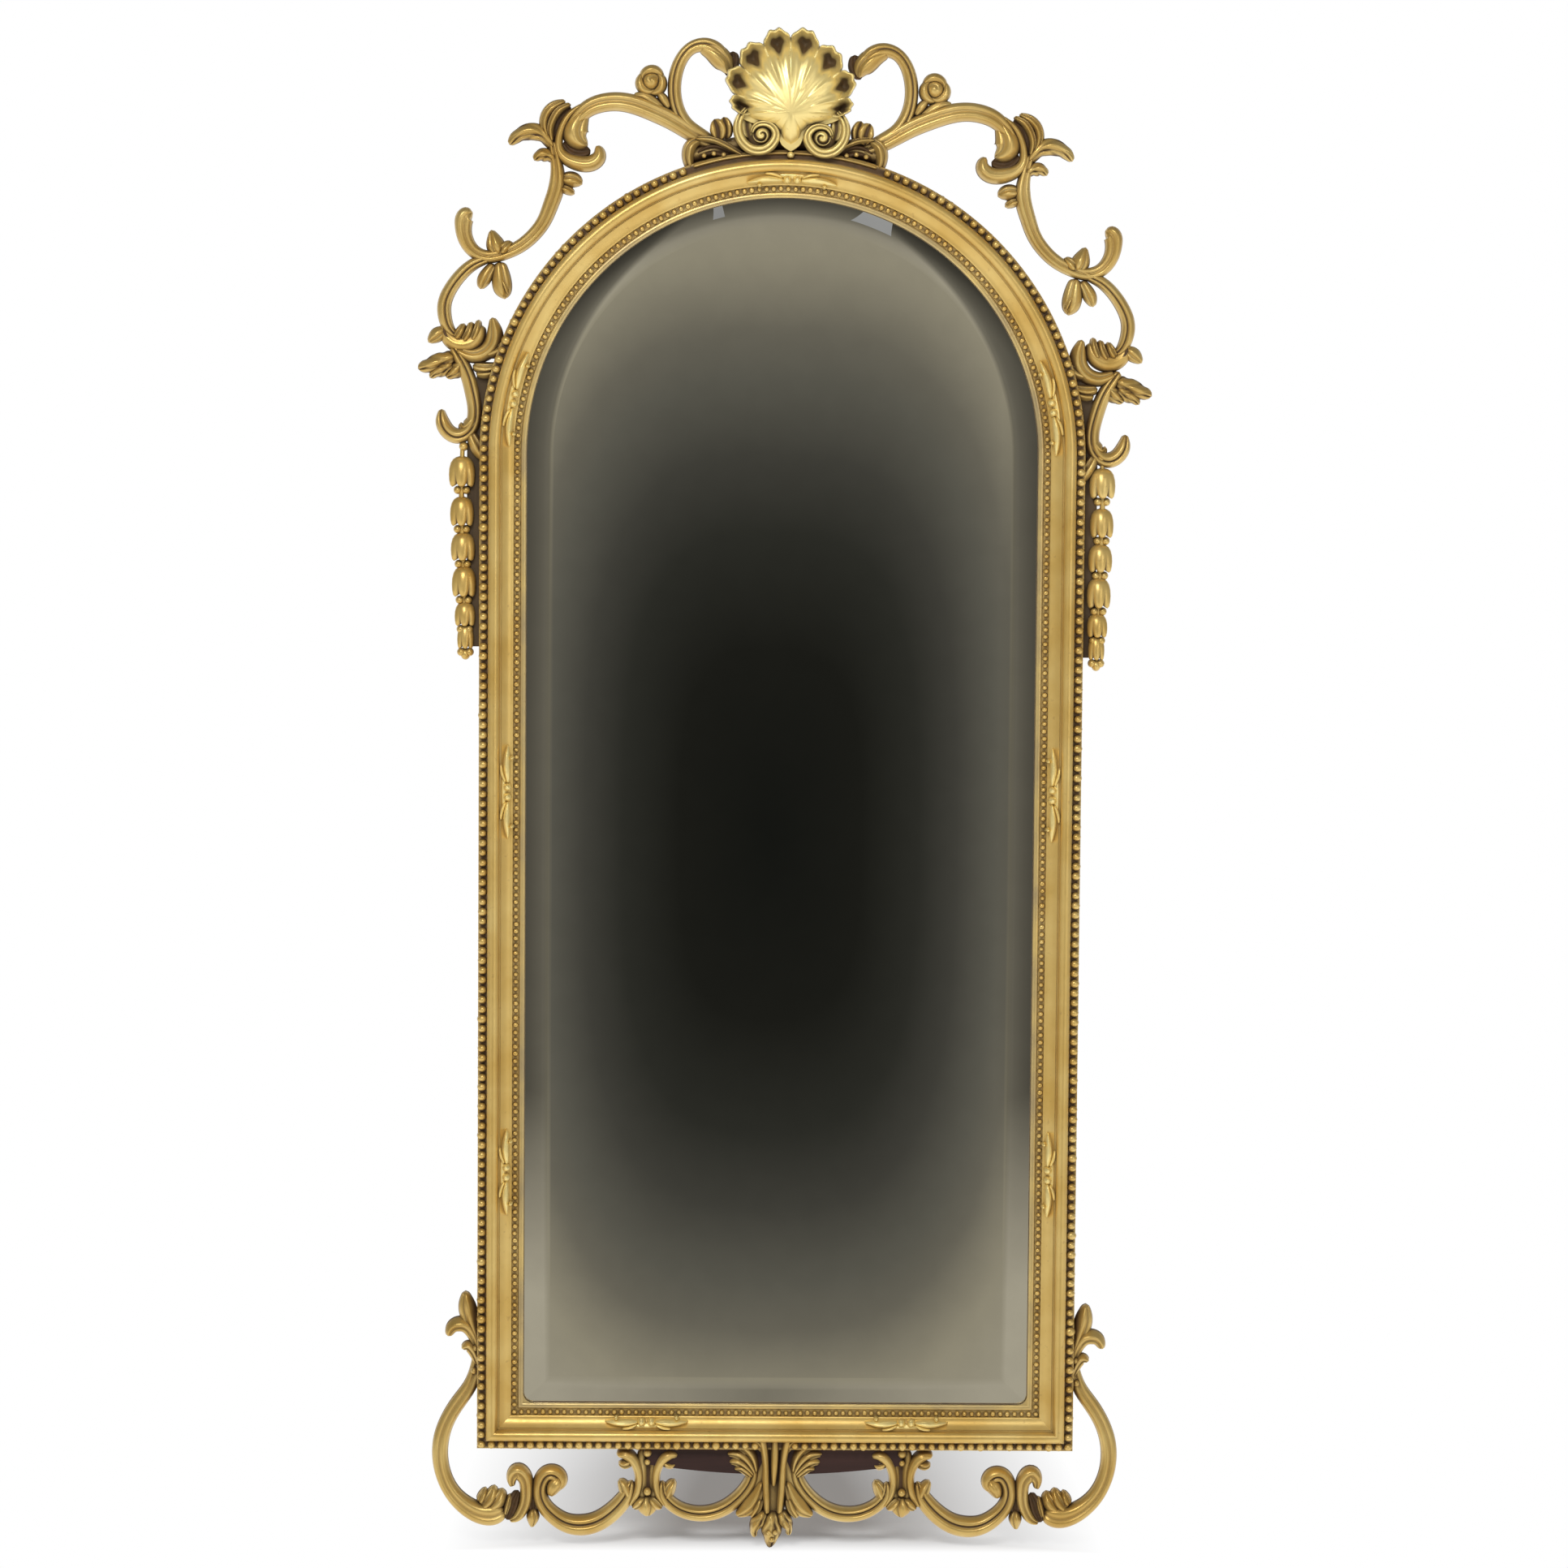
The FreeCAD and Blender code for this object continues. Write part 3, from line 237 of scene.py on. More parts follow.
def rounded(share, power):
    """Height of a rounded back across its width: share runs from -1 to 1."""
    return np.clip(1 - np.abs(share) ** power, 0, 1) ** (1 / power)


def dip(value, place, width):
    """Smooth hollow about a place."""
    return np.exp(-((value - place) / width) ** 2)


# Each section gives its height and its recess: how dark its grooves, creases and scoops are painted, as
# patina together with painted shade.
def scroll_section(share):
    """Scroll: two round rims beside a channel. Returns height and recess."""
    height = rounded(share, 2.4) - 0.26 * dip(share, -0.10, 0.20) + 0.05 * dip(share, 0.55, 0.2)
    return height, 0.55 * dip(share, -0.10, 0.12)


def reed_section(share):
    """Stem of two uneven strands with a deep quirk between them."""
    height = rounded(share, 2.2) - 0.36 * dip(share, 0.16, 0.15)
    return height, 0.95 * dip(share, 0.16, 0.12)


def leaf_section(share):
    """Leaf: a full lobe with a crease beside its rib."""
    height = 0.86 * rounded(share, 2.0) + 0.12 * dip(share, -0.2, 0.25) - 0.20 * dip(share, 0.30, 0.13)
    return height, 0.65 * dip(share, 0.30, 0.09)


def cup_section(share):
    """Hollow leaf: bright edges about a scoop painted dark, shade with patina."""
    height = 0.88 * rounded(share, 2.8) - 0.50 * dip(share, 0.08, 0.40)
    return height, 0.95 * dip(share, 0.08, 0.32)


def bud_section(share):
    """Plump bud with a faint seam."""
    height = rounded(share, 2.0) - 0.08 * dip(share, 0.25, 0.12)
    return height, 0.45 * dip(share, 0.25, 0.08)


def tube_faces(rings, around):
    """Quads between closed rings, and a fan on each end."""
    faces = []
    for i in range(rings - 1):
        a, b = i * around, (i + 1) * around
        for j in range(around):
            k = (j + 1) % around
            faces.append((a + j, a + k, b + k, b + j))
    first, last = rings * around, rings * around + 1
    tail = (rings - 1) * around
    for j in range(around):
        k = (j + 1) % around
        faces.append((k, j, first))
        faces.append((tail + j, tail + k, last))
    return faces


def carved(rows, section, height, back, lobes=0, notch=0.0, curl=0.0):
    """Carved form along rows of (x, z, width): section gives its front, and its back is flat.
    Lobes cut notches into its edges, and curl lifts its end towards the room."""
    path, slope, share_along = traced(rows, sizes().grain / MM)
    widths = np.maximum(path[:, 2], 0.8)
    widest = widths.max()
    length = np.hypot(*np.diff(path[:, :2], axis=0).T).sum()
    from_end = np.minimum(share_along, 1 - share_along) * length
    cap = np.maximum(widths * 0.35, 0.6)
    round_off = np.sqrt(np.clip(1 - (1 - np.clip(from_end / cap, 0, 1)) ** 2, 0.02, 1))
    share = np.sin(np.linspace(-np.pi / 2, np.pi / 2, FRONT_POINTS))
    front, recess = section(share)
    cut = np.zeros(len(path))
    vein = np.zeros((len(path), FRONT_POINTS))
    if lobes:
        cut = (0.5 - 0.5 * np.cos(2 * np.pi * lobes * share_along)) ** 4
        wave = np.cos(2 * np.pi * (lobes * share_along[:, None] - 0.9 * np.abs(share)))
        vein = 0.16 * (0.5 - 0.5 * wave) ** 3 * (np.abs(share) > 0.15)
    tall = height * (0.40 + 0.60 * widths / widest) * round_off ** 0.6
    lift = curl * np.clip((share_along - 0.55) / 0.45, 0, 1) ** 2
    across = np.stack([-slope[:, 1], slope[:, 0]], 1)
    half = (widths * round_off * (1 - notch * cut) / 2)[:, None]
    x = path[:, :1] + across[:, :1] * half * share
    z = path[:, 1:2] + across[:, 1:] * half * share
    y = -(back + tall[:, None] * np.clip(front - vein, 0, 2) + lift[:, None])
    # Painted shade: the low edges of each form, its veins and its notches darken on top of its section's
    # recess; the backs and the ends are set dark as well.
    low = np.clip(1 - front / 0.66, 0, 1) ** 1.2
    shade = np.maximum(recess, 0.95 * low) + 2.6 * vein + 0.5 * (notch * cut)[:, None]
    ring = np.stack([x, y, z], -1)
    heel = np.stack([ring[:, -1], ring[:, 0]], 1)
    heel[:, :, 1] = -back
    tuck = np.array([0.08, -0.08])
    heel[:, :, 0] -= across[:, :1] * half * tuck
    heel[:, :, 2] -= across[:, 1:] * half * tuck
    rings = np.concatenate([ring, heel], 1)
    shades = np.concatenate([np.clip(shade, 0, 1), np.ones((len(path), 2))], 1)
    ends = rings[[0, -1]].mean(1)
    points = np.concatenate([rings.reshape(-1, 3), ends])
    return points, tube_faces(len(path), FRONT_POINTS + 2), np.concatenate([shades.ravel(), [0.6, 0.6]])


def dome(x, z, radius, height, back, groove=0.0, turns=1.6, around=28, rings=10, squeeze=1.0, tilt=0.0):
    """Round button on a flat back; a groove winds it into a spiral eye. Squeeze and tilt make it oval."""
    angle = np.linspace(0, 2 * np.pi, around, endpoint=False)
    span = np.linspace(1, 0.04, rings)
    radial, turn = np.meshgrid(span, angle, indexing="ij")
    rise = np.sqrt(np.clip(1 - radial ** 2.2, 0, 1))
    wound = 0.5 - 0.5 * np.cos(turn + 2 * np.pi * turns * radial)
    cut = groove * wound ** 4 * np.clip(radial * 2.5, 0, 1) * np.clip((1 - radial) * 6, 0, 1)
    u, v = radial * np.cos(turn) * radius, radial * np.sin(turn) * radius * squeeze
    points = np.stack([x + u * math.cos(tilt) - v * math.sin(tilt), -(back + height * (rise - cut)),
                       z + u * math.sin(tilt) + v * math.cos(tilt)], -1)
    # Painted shade in the spiral groove and on the low rim of the button.
    shade = np.clip(3.0 * cut + 0.4 * np.clip(1 - rise / 0.4, 0, 1), 0, 1)
    heel = np.array([[x, -back, z]])
    crown = points[-1].mean(0)[None]
    mesh = np.concatenate([points.reshape(-1, 3), heel, crown])
    return mesh, tube_faces(rings, around), np.concatenate([shade.ravel(), [1, 0]])


def husk(x, z, length, width, back):
    """Bell of a husk: a rounded calyx that opens into petals over a hollow hem."""
    petals, around = 3, 25
    drop = np.array([0, 0.03, 0.10, 0.22, 0.40, 0.60, 0.80, 0.94, 1.0, 0.96, 0.88])
    spread = np.array([0.18, 0.42, 0.66, 0.84, 0.96, 1.0, 0.98, 0.92, 0.80, 0.60, 0.40])
    # Painted shade: dark at the top of the calyx and under the hem, and darker between the petals.
    dark = np.array([0.8, 0.35, 0, 0, 0, 0, 0, 0.05, 0.35, 0.9, 1.0])
    turn = np.linspace(0, np.pi, around)
    lobe = np.abs(np.sin(turn * petals))[None, :] ** 0.6
    grow = np.clip((drop - 0.12) / 0.88, 0, 1)[:, None]
    radius = spread[:, None] * width / 2 * (1 - 0.22 * grow * (1 - lobe))
    fall = drop[:, None] * length * (1 - 0.14 * grow ** 3 * (1 - lobe))
    front = np.stack([x - radius * np.cos(turn)[None, :], -(back + radius * np.sin(turn)[None, :] * 0.95),
                      z - fall + 0 * radius], -1)
    shade = np.clip(dark[:, None] + 0.8 * grow * (1 - lobe) ** 1.5, 0, 1)
    ends = front[[0, -1]].mean(1)
    points = np.concatenate([front.reshape(-1, 3), ends])
    return points, tube_faces(len(drop), around), np.concatenate([shade.ravel(), [0.8, 1.0]])


def darkened(form):
    """The same form, all of it painted dark: shade in a hollow or behind other forms."""
    points, faces, shade = form
    return points, faces, np.ones_like(shade)


def lightly_shaded(form):
    """The same form, with most of its painted shade and recess darkening taken off."""
    points, faces, shade = form
    return points, faces, 0.3 * shade


def berry(x, z, radius, back, squeeze=1.0):
    """Small round berry."""
    return dome(x, z, radius, radius * 1.5, back, around=16, rings=7, squeeze=squeeze)


class Carving:
    """Collects carved forms drawn for the left of the mirror, and makes one piece of them."""

    made = 0
    piece_step, pieces_apart = 0.004, 5
    form_step, forms_apart = 0.02, 23

    def __init__(self, right=False, lean=0.0, drop=0.0):
        self.points, self.faces, self.shade, self.count = [], [], [], 0
        Carving.made += 1
        self.proud = self.piece_step * (Carving.made % self.pieces_apart)
        self.on(right, lean, drop)

    def on(self, right, lean=0.0, drop=0.0):
        """Set the side of the next forms. On the right they are leaned about the arch centre and lowered."""
        self.right, self.lean, self.drop = right, math.radians(lean), drop
        return self

    def add(self, form):
        """Add a form on the side set, a hair proud of the last so that few backs share a plane."""
        points, faces, shade = form
        points = points.copy()
        points[:, 1] -= self.proud + self.form_step * (len(self.points) % self.forms_apart)
        if self.right:
            points[:, 0] *= -1
            cos, sin = math.cos(self.lean), math.sin(self.lean)
            points[:, 0], points[:, 2] = (points[:, 0] * cos + points[:, 2] * sin,
                                          points[:, 2] * cos - points[:, 0] * sin)
            points[:, 2] -= self.drop
            faces = [tuple(reversed(face)) for face in faces]
        self.faces += [tuple(index + self.count for index in face) for face in faces]
        self.points.append(points)
        self.shade.append(shade)
        self.count += len(points)

    def cut(self, section, height, back, *forms, dark=False, **edge):
        """Add a carved form for each list of rows; dark ones are painted fully dark as shade."""
        for rows in forms:
            form = carved(rows, section, height, back, **edge)
            self.add(darkened(form) if dark else form)

    def piece(self, node, material):
        """Make the finished piece, riding on the frame in place of its CAD node."""
        mesh = bpy.data.meshes.new(node)
        points = np.concatenate(self.points) * MM
        mesh.from_pydata(points.tolist(), [], self.faces)
        mesh.validate()
        # The recess attribute carries the painted shade and the patina of the forms.
        recess = mesh.attributes.new("recess", "FLOAT", "POINT")
        recess.data.foreach_set("value", np.concatenate(self.shade).astype(np.float32))
        mesh.polygons.foreach_set("use_smooth", [True] * len(mesh.polygons))
        mesh.materials.append(material)
        placed(mesh, node + "_gilt", (node,))


def closed_mesh(name, points, faces):
    """Mesh of a closed form, with its faces turned outwards."""
    mesh = bpy.data.meshes.new(name)
    mesh.from_pydata(points, [], faces)
    volume = 0.0
    for face in mesh.polygons:
        corner = [mesh.vertices[index].co for index in face.vertices]
        for i in range(1, len(corner) - 1):
            volume += corner[0].dot(corner[i].cross(corner[i + 1]))
    if volume < 0:
        mesh.flip_normals()
    return mesh


def placed(mesh, name, nodes):
    """Make an object of a mesh; it rides on the frame and stands for CAD nodes."""
    piece = bpy.data.objects.new(name, mesh)
    bpy.context.scene.collection.objects.link(piece)
    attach(piece, "frame")
    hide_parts(*nodes)


# Finishes


def node_tree(name):
    """New material with its nodes, its links and its principled shader."""
    material = bpy.data.materials.new(name)
    material.use_nodes = True
    tree = material.node_tree
    return material, tree.nodes, tree.links, tree.nodes["Principled BSDF"]


def noise(nodes, links, scale, detail, coordinates=None):
    """Noise in object space, or over other coordinates."""
    place = coordinates or nodes.new("ShaderNodeTexCoord").outputs["Object"]
    texture = nodes.new("ShaderNodeTexNoise")
    texture.inputs["Scale"].default_value = scale
    texture.inputs["Detail"].default_value = detail
    links.new(place, texture.inputs["Vector"])
    return texture.outputs["Fac"]


def ramp(nodes, links, factor, stops):
    """Colour ramp over a factor."""
    band = nodes.new("ShaderNodeValToRGB")
    while len(band.color_ramp.elements) < len(stops):
        band.color_ramp.elements.new(0.5)
    for element, (place, colour) in zip(band.color_ramp.elements, sorted(stops)):
        element.position = place
        element.color = (*colour, 1.0)
    links.new(factor, band.inputs["Fac"])
    return band.outputs["Color"]


def grey(level):
    """Grey of a level."""
    return (level, level, level)


def toned(colour, share):
    """Share of a colour's light."""
    return [share * level for level in colour]


def feed(links, value, socket):
    """Feed a socket from another one, from a number or from a colour."""
    if isinstance(value, bpy.types.NodeSocket):
        links.new(value, socket)
    elif isinstance(value, (int, float)):
        socket.default_value = value
    else:
        socket.default_value = (*value, 1.0)


def mixed(nodes, links, factor, first, second, blend="MIX"):
    """Blend of two colours by a factor."""
    mix = nodes.new("ShaderNodeMix")
    mix.data_type = "RGBA"
    mix.blend_type = blend
    for name, value in (("Factor", factor), ("A", first), ("B", second)):
        feed(links, value, mix.inputs[name])
    return mix.outputs["Result"]


def math_node(nodes, links, operation, first, second, clamp=True):
    """Two sockets, or a socket and a number, through a maths node."""
    step = nodes.new("ShaderNodeMath")
    step.operation = operation
    step.use_clamp = clamp
    for socket, value in zip(step.inputs, (first, second)):
        feed(links, value, socket)
    return step.outputs["Value"]


def relief(nodes, links, shader, height, strength, distance):
    """Bump from a height socket."""
    bump = nodes.new("ShaderNodeBump")
    bump.inputs["Strength"].default_value = strength
    bump.inputs["Distance"].default_value = distance
    links.new(height, bump.inputs["Height"])
    links.new(bump.outputs["Normal"], shader.inputs["Normal"])


def gilding(name, leaf, pale, crowding):
    """Worn gold leaf: burnished and dull patches, bole where it is rubbed, and a brown that is patina in
    the recesses and painted shade at low edges, in grooves and in hollows. Crowding sets how far near
    neighbours darken it with painted contact shade."""
    colours = finishes()
    material, nodes, links, shader = node_tree(name)
    broad = noise(nodes, links, 22.0, 3.0)
    gold = ramp(nodes, links, broad, [(0.30, leaf), (0.72, pale)])
    wear = noise(nodes, links, 200.0, 2.0)
    worn = ramp(nodes, links, wear, [(0.66, grey(0.0)), (0.80, grey(0.35))])
    rubbed = mixed(nodes, links, worn, gold, colours.bole)
    # The recess attribute brings the carving's patina and painted shade; the occlusion adds painted shade
    # where near neighbours come close.
    recess = nodes.new("ShaderNodeAttribute")
    recess.attribute_name = "recess"
    shelter = nodes.new("ShaderNodeAmbientOcclusion")
    shelter.samples = 8
    shelter.inputs["Distance"].default_value = 0.012
    closed = math_node(nodes, links, "SUBTRACT", 1.0, shelter.outputs["AO"])
    contact_shade = math_node(nodes, links, "MULTIPLY", closed, crowding)
    darkening = math_node(nodes, links, "MAXIMUM", recess.outputs["Fac"], contact_shade)
    # Painted shade and patina: where the darkening is strong, the leaf turns brown, less metallic and
    # rougher.
    shade_and_patina = ramp(nodes, links, darkening, [(0.20, grey(0.0)), (0.70, grey(0.95))])
    brown = ramp(nodes, links, wear, [(0.3, colours.patina_and_shade), (0.8, toned(colours.patina_and_shade, 2.2))])
    links.new(mixed(nodes, links, shade_and_patina, rubbed, brown), shader.inputs["Base Color"])
    links.new(ramp(nodes, links, shade_and_patina, [(0.0, grey(0.58)), (1.0, grey(0.05))]), shader.inputs["Metallic"])
    polish = ramp(nodes, links, wear, [(0.3, grey(0.34)), (0.75, grey(0.42))])
    links.new(mixed(nodes, links, shade_and_patina, polish, grey(0.7)), shader.inputs["Roughness"])
    relief(nodes, links, shader, noise(nodes, links, 250.0, 1.0), 0.05, 0.0008)
    return material


def timber(name, colour, stretched):
    """Plain wood with long grain; stretched packs the noise more closely across the grain."""
    material, nodes, links, shader = node_tree(name)
    place = nodes.new("ShaderNodeTexCoord")
    stretch = nodes.new("ShaderNodeMapping")
    stretch.inputs["Scale"].default_value = stretched
    links.new(place.outputs["Object"], stretch.inputs["Vector"])
    grain = noise(nodes, links, 6.0, 8.0, stretch.outputs["Vector"])
    tones = [(0.25, toned(colour, 0.45)), (0.5, colour), (0.78, toned(colour, 1.35))]
    links.new(ramp(nodes, links, grain, tones), shader.inputs["Base Color"])
    links.new(ramp(nodes, links, grain, [(0.2, grey(0.75)), (0.8, grey(0.55))]), shader.inputs["Roughness"])
    relief(nodes, links, shader, grain, 0.35, 0.001)
    return material


def plated(name, colour):
    """Dull plated steel with fine scratches."""
    material, nodes, links, shader = node_tree(name)
    scratch = noise(nodes, links, 700.0, 6.0)
    tones = [(0.3, toned(colour, 0.6)), (0.7, colour)]
    links.new(ramp(nodes, links, scratch, tones), shader.inputs["Base Color"])
    shader.inputs["Metallic"].default_value = 1.0
    dulled = [(0.2, grey(0.30)), (0.8, grey(0.5))]
    links.new(ramp(nodes, links, scratch, dulled), shader.inputs["Roughness"])
    return material


def matted(name, colour):
    """Pressed felt."""
    material, nodes, links, shader = node_tree(name)
    fibre = noise(nodes, links, 900.0, 8.0)
    tones = [(0.3, colour), (0.7, toned(colour, 2.0))]
    links.new(ramp(nodes, links, fibre, tones), shader.inputs["Base Color"])
    shader.inputs["Roughness"].default_value = 0.95
    relief(nodes, links, shader, fibre, 0.6, 0.001)
    return material


def silvered(name, colour):
    """Mirror glass with faint dust."""
    material, nodes, links, shader = node_tree(name)
    dust = noise(nodes, links, 40.0, 6.0)
    tones = [(0.4, toned(colour, 0.97)), (0.6, colour)]
    links.new(ramp(nodes, links, dust, tones), shader.inputs["Base Color"])
    shader.inputs["Metallic"].default_value = 1.0
    shader.inputs["Roughness"].default_value = 0.0
    return material


def finish(name):
    """Shared finish by name, made at first use."""
    made = bpy.data.materials.get(name)
    if made:
        return made
    colours = finishes()
    makers = {
        "gold_leaf": lambda: gilding(name, colours.leaf, toned(colours.pale_leaf, 0.92), 0.95),
        "frame_leaf": lambda: gilding(name, colours.frame_leaf, colours.pale_leaf, 0.62),
        # Burnished leaf of the shell, painted brighter also to stand for its highlights.
        "burnished_and_highlit_leaf": lambda: gilding(name, colours.burnished, colours.burnished, 0.85),
        # Brighter leaf with little contact shade for the sprays: a painted highlight.
        "highlit_leaf": lambda: gilding(name, colours.burnished, colours.burnished, 0.35),
        "pale_lip": lambda: gilding(name, colours.lip, colours.pale_leaf, 0.88),
        "stained_wood": lambda: timber(name, colours.stained_wood, (1.0, 8.0, 14.0)),
        "toned_wood": lambda: timber(name, colours.toned_wood, (14.0, 8.0, 1.0)),
        "bare_wood": lambda: timber(name, colours.bare_wood, (14.0, 8.0, 1.0)),
        "dull_steel": lambda: plated(name, colours.steel),
        "pressed_felt": lambda: matted(name, colours.felt),
        "silvered_glass": lambda: silvered(name, colours.silver),
    }
    return makers[name]()


# The moulded frame


def moulding_profile():
    """Front and back of the moulding: outwards from the sight edge, height from the back and recess."""
    # The third column is the recess: darkness in the rebate by the glass, the grooves and the bead channels,
    # patina together with painted shade.
    rows = [(0.0, 14.0, 1.0), (0.0, 16.4, 0.35)]
    for turn in np.linspace(0, np.pi, 9):
        rows.append((2.6 - 2.6 * math.cos(turn), 16.6 + 1.7 * math.sin(turn), 0.0))
    rows += [(5.4, 16.9, 0.40), (8.4, 16.7, 0.60), (11.0, 16.9, 0.40), (11.2, 19.2, 0.1)]
    for share in np.linspace(0, 1, 9):
        rows.append((11.4 + 10.4 * share, 19.7 + 5.8 * share - 1.3 * math.sin(math.pi * share), 0.0))
    rows += [(22.0, 24.7, 0.08), (22.7, 24.5, 0.16), (23.4, 24.7, 0.08)]
    for turn in np.linspace(0.12, np.pi - 0.12, 15):
        rows.append((29.0 - 5.5 * math.cos(turn), 25.2 + 6.6 * math.sin(turn), 0.0))
    rows += [(34.5, 21.0, 0.3), (34.7, 20.0, 0.6), (38.6, 19.9, 0.9), (42.2, 20.0, 0.45), (42.8, 19.5, 0.1),
             (43.0, 18.6, 0.1), (43.0, 10.0, 0.2), (43.0, 0.5, 0.5)]
    back = [(42.5, 0.0, 0.0), (8.0, 0.0, 0.0), (8.0, 14.0, 0.0)]
    return np.array(rows), np.array(back)


def member(node, stations, place):
    """Length of moulding: place turns (station, outwards) into x and z. The back is bare wood."""
    rows, back = moulding_profile()
    loop = np.concatenate([rows, back])
    around = len(loop)
    points = []
    for station in stations:
        for outwards, height in loop[:, :2]:
            x, z = place(station, outwards)
            points.append((x * MM, -(WALL_GAP + height) * MM, z * MM))
    leaf, wood, lip = 0, 1, 2
    lip_ends = 10
    faces, kinds = [], []
    for i in range(len(stations) - 1):
        for j in range(around):
            k = (j + 1) % around
            a, b = i * around, (i + 1) * around
            faces.append((a + j, b + j, b + k, a + k))
            on_front = lip if 1 <= j < lip_ends else leaf
            kinds.append(on_front if j < len(rows) - 1 else wood)
    last = (len(stations) - 1) * around
    faces += [tuple(range(around)), tuple(reversed(range(last, last + around)))]
    kinds += [wood, wood]
    mesh = closed_mesh(node, points, faces)
    # The profile's recess column: painted shade and patina in the grooves.
    recess = mesh.attributes.new("recess", "FLOAT", "POINT")
    recess.data.foreach_set("value", np.tile(loop[:, 2], len(stations)).astype(np.float32))
    for name in ("frame_leaf", "bare_wood", "pale_lip"):
        mesh.materials.append(finish(name))
    mesh.polygons.foreach_set("material_index", kinds)
    mesh.polygons.foreach_set("use_smooth", [kind != wood for kind in kinds])
    mesh.set_sharp_from_angle(angle=math.radians(60))
    placed(mesh, node + "_moulding", (node,))


class GILT_OT_moulding(bpy.types.Operator):
    """Build the arched moulding: two arch members, two stiles and the bottom rail."""

    bl_idname = "gilt_mirror.moulding"
    bl_label = "Moulding"

    def execute(self, context):
        sight, foot = sight_edge()
        arch_stations, straight_stations = 97, 41

        def on_arch(angle, outwards):
            return (sight + outwards) * math.cos(angle), (sight + outwards) * math.sin(angle)

        def on_stile(sign):
            return lambda share, outwards: (sign * (sight + outwards), -share * (foot + outwards))

        member("arch_right", np.linspace(0, np.pi / 2, arch_stations), on_arch)
        member("arch_left", np.linspace(np.pi / 2, np.pi, arch_stations), on_arch)
        for sign, node in ((-1, "stile_left"), (1, "stile_right")):
            member(node, np.linspace(0, 1, straight_stations), on_stile(sign))
        member("bottom_rail", np.linspace(-1, 1, straight_stations),
               lambda share, outwards: (share * (sight + outwards), -foot - outwards))
        self.corners(sight, foot)
        return {"FINISHED"}

    def corners(self, sight, foot):
        """Small hollow fillets that round the two lower corners of the sight edge."""
        radius, under = 9.0, 1.5
        low, high = WALL_GAP + 14.2, WALL_GAP + 17.4
        turns = np.linspace(-np.pi / 2, 0, 9)
        points, faces = [], []
        for sign in (-1, 1):
            edge = [(sight + under, -foot - under), (sight - radius, -foot - under)]
            edge += [(sight - radius + radius * math.cos(turn), -foot + radius + radius * math.sin(turn))
                     for turn in turns]
            edge.append((sight + under, -foot + radius))
            first, count = len(points), len(edge)
            top = first + count
            for depth in (low, high):
                points += [(sign * x * MM, -depth * MM, z * MM) for x, z in edge]
            for j in range(1, count - 1):
                faces += [(first, first + j, first + j + 1), (top, top + j + 1, top + j)]
            for j in range(count):
                k = (j + 1) % count
                faces.append((first + j, top + j, top + k, first + k))
            if sign > 0:
                half = len(faces) // 2
                faces[half:] = [tuple(reversed(face)) for face in faces[half:]]
        mesh = closed_mesh("sight_corners", points, faces)
        mesh.materials.append(finish("pale_lip"))
        placed(mesh, "sight_corners", ("bottom_rail",))


def pearl_row(carving, centres, radius, back, seed, filled):
    """Oval pearls at (x, z, turn), a little uneven; the share that is filled with gesso is lower."""
    chance = np.random.default_rng(seed)
    stray = 0.12
    for x, z, turn in centres:
        size = radius * (1 + 0.06 * chance.standard_normal())
        height = radius * (1.2 if chance.random() > filled else 0.7)
        x += stray * chance.standard_normal()
        z += stray * chance.standard_normal()
        carving.add(dome(x, z, size, height, back, around=14, rings=6, squeeze=0.88, tilt=turn))


def straight_centres(start, end, pitch):
    """Evenly spaced places between two ends, turned across the line."""
    start, end = np.array(start, float), np.array(end, float)
    length = np.hypot(*(end - start))
    count = int(round(length / pitch))
    turn = math.atan2(*(end - start)[::-1]) + math.pi / 2
    return [(*(start + (end - start) * (index + 0.5) / count), turn) for index in range(count)]


def arch_centres(radius, pitch, start, stop):
    """Evenly spaced places on the arch between two angles from the right springing, turned outwards."""
    count = int(round(radius * (stop - start) / pitch))
    angles = start + (stop - start) * (np.arange(count) + 0.5) / count
    return [(radius * math.cos(angle), radius * math.sin(angle), angle) for angle in angles]


class GILT_OT_pearls(bpy.types.Operator):
    """Build the outer and the inner rows of pearls."""

    bl_idname = "gilt_mirror.pearls"
    bl_label = "Pearls"

    def execute(self, context):
        size = sizes()
        gold = finish("frame_leaf")
        sight, foot = sight_edge()
        under_crest, behind_drop = math.radians(19.0), 14.0
        outer, inner = (38.75, 25.9, under_crest, behind_drop, 0.0), (8.3, 22.7, 0.0, 0.0, 0.14)
        rows = (("outer_beading", size.outer_pearl / MM, size.outer_pitch / MM, outer),
                ("inner_beading", size.inner_pearl / MM, size.inner_pitch / MM, inner))
        crown = math.pi / 2
        for number, (name, radius, pitch, place) in enumerate(rows):
            out, back, gap, middle, filled = place
            line, floor = sight + out, -foot - out
            arch, stiles, rail = Carving(), Carving(), Carving()
            for seed, start, stop in ((10, 0, crown - gap), (20, crown + gap, math.pi)):
                run = arch_centres(line, pitch, start, stop)
                pearl_row(arch, run, radius, back, seed + number, filled)
            for sign in (-1, 1):
                run = straight_centres((sign * line, 0), (sign * line, floor - 0.5 * pitch), pitch)
                pearl_row(stiles, run, radius, back, 30 + number + sign, filled)
                run = straight_centres((sign * middle, floor), (sign * (line - 0.5 * pitch), floor), pitch)
                pearl_row(rail, run, radius, back, 40 + number + sign, filled)
            arch.piece(name + "_arch", gold)
            stiles.piece(name + "_stiles", gold)
            rail.piece(name + "_rail", gold)
        return {"FINISHED"}


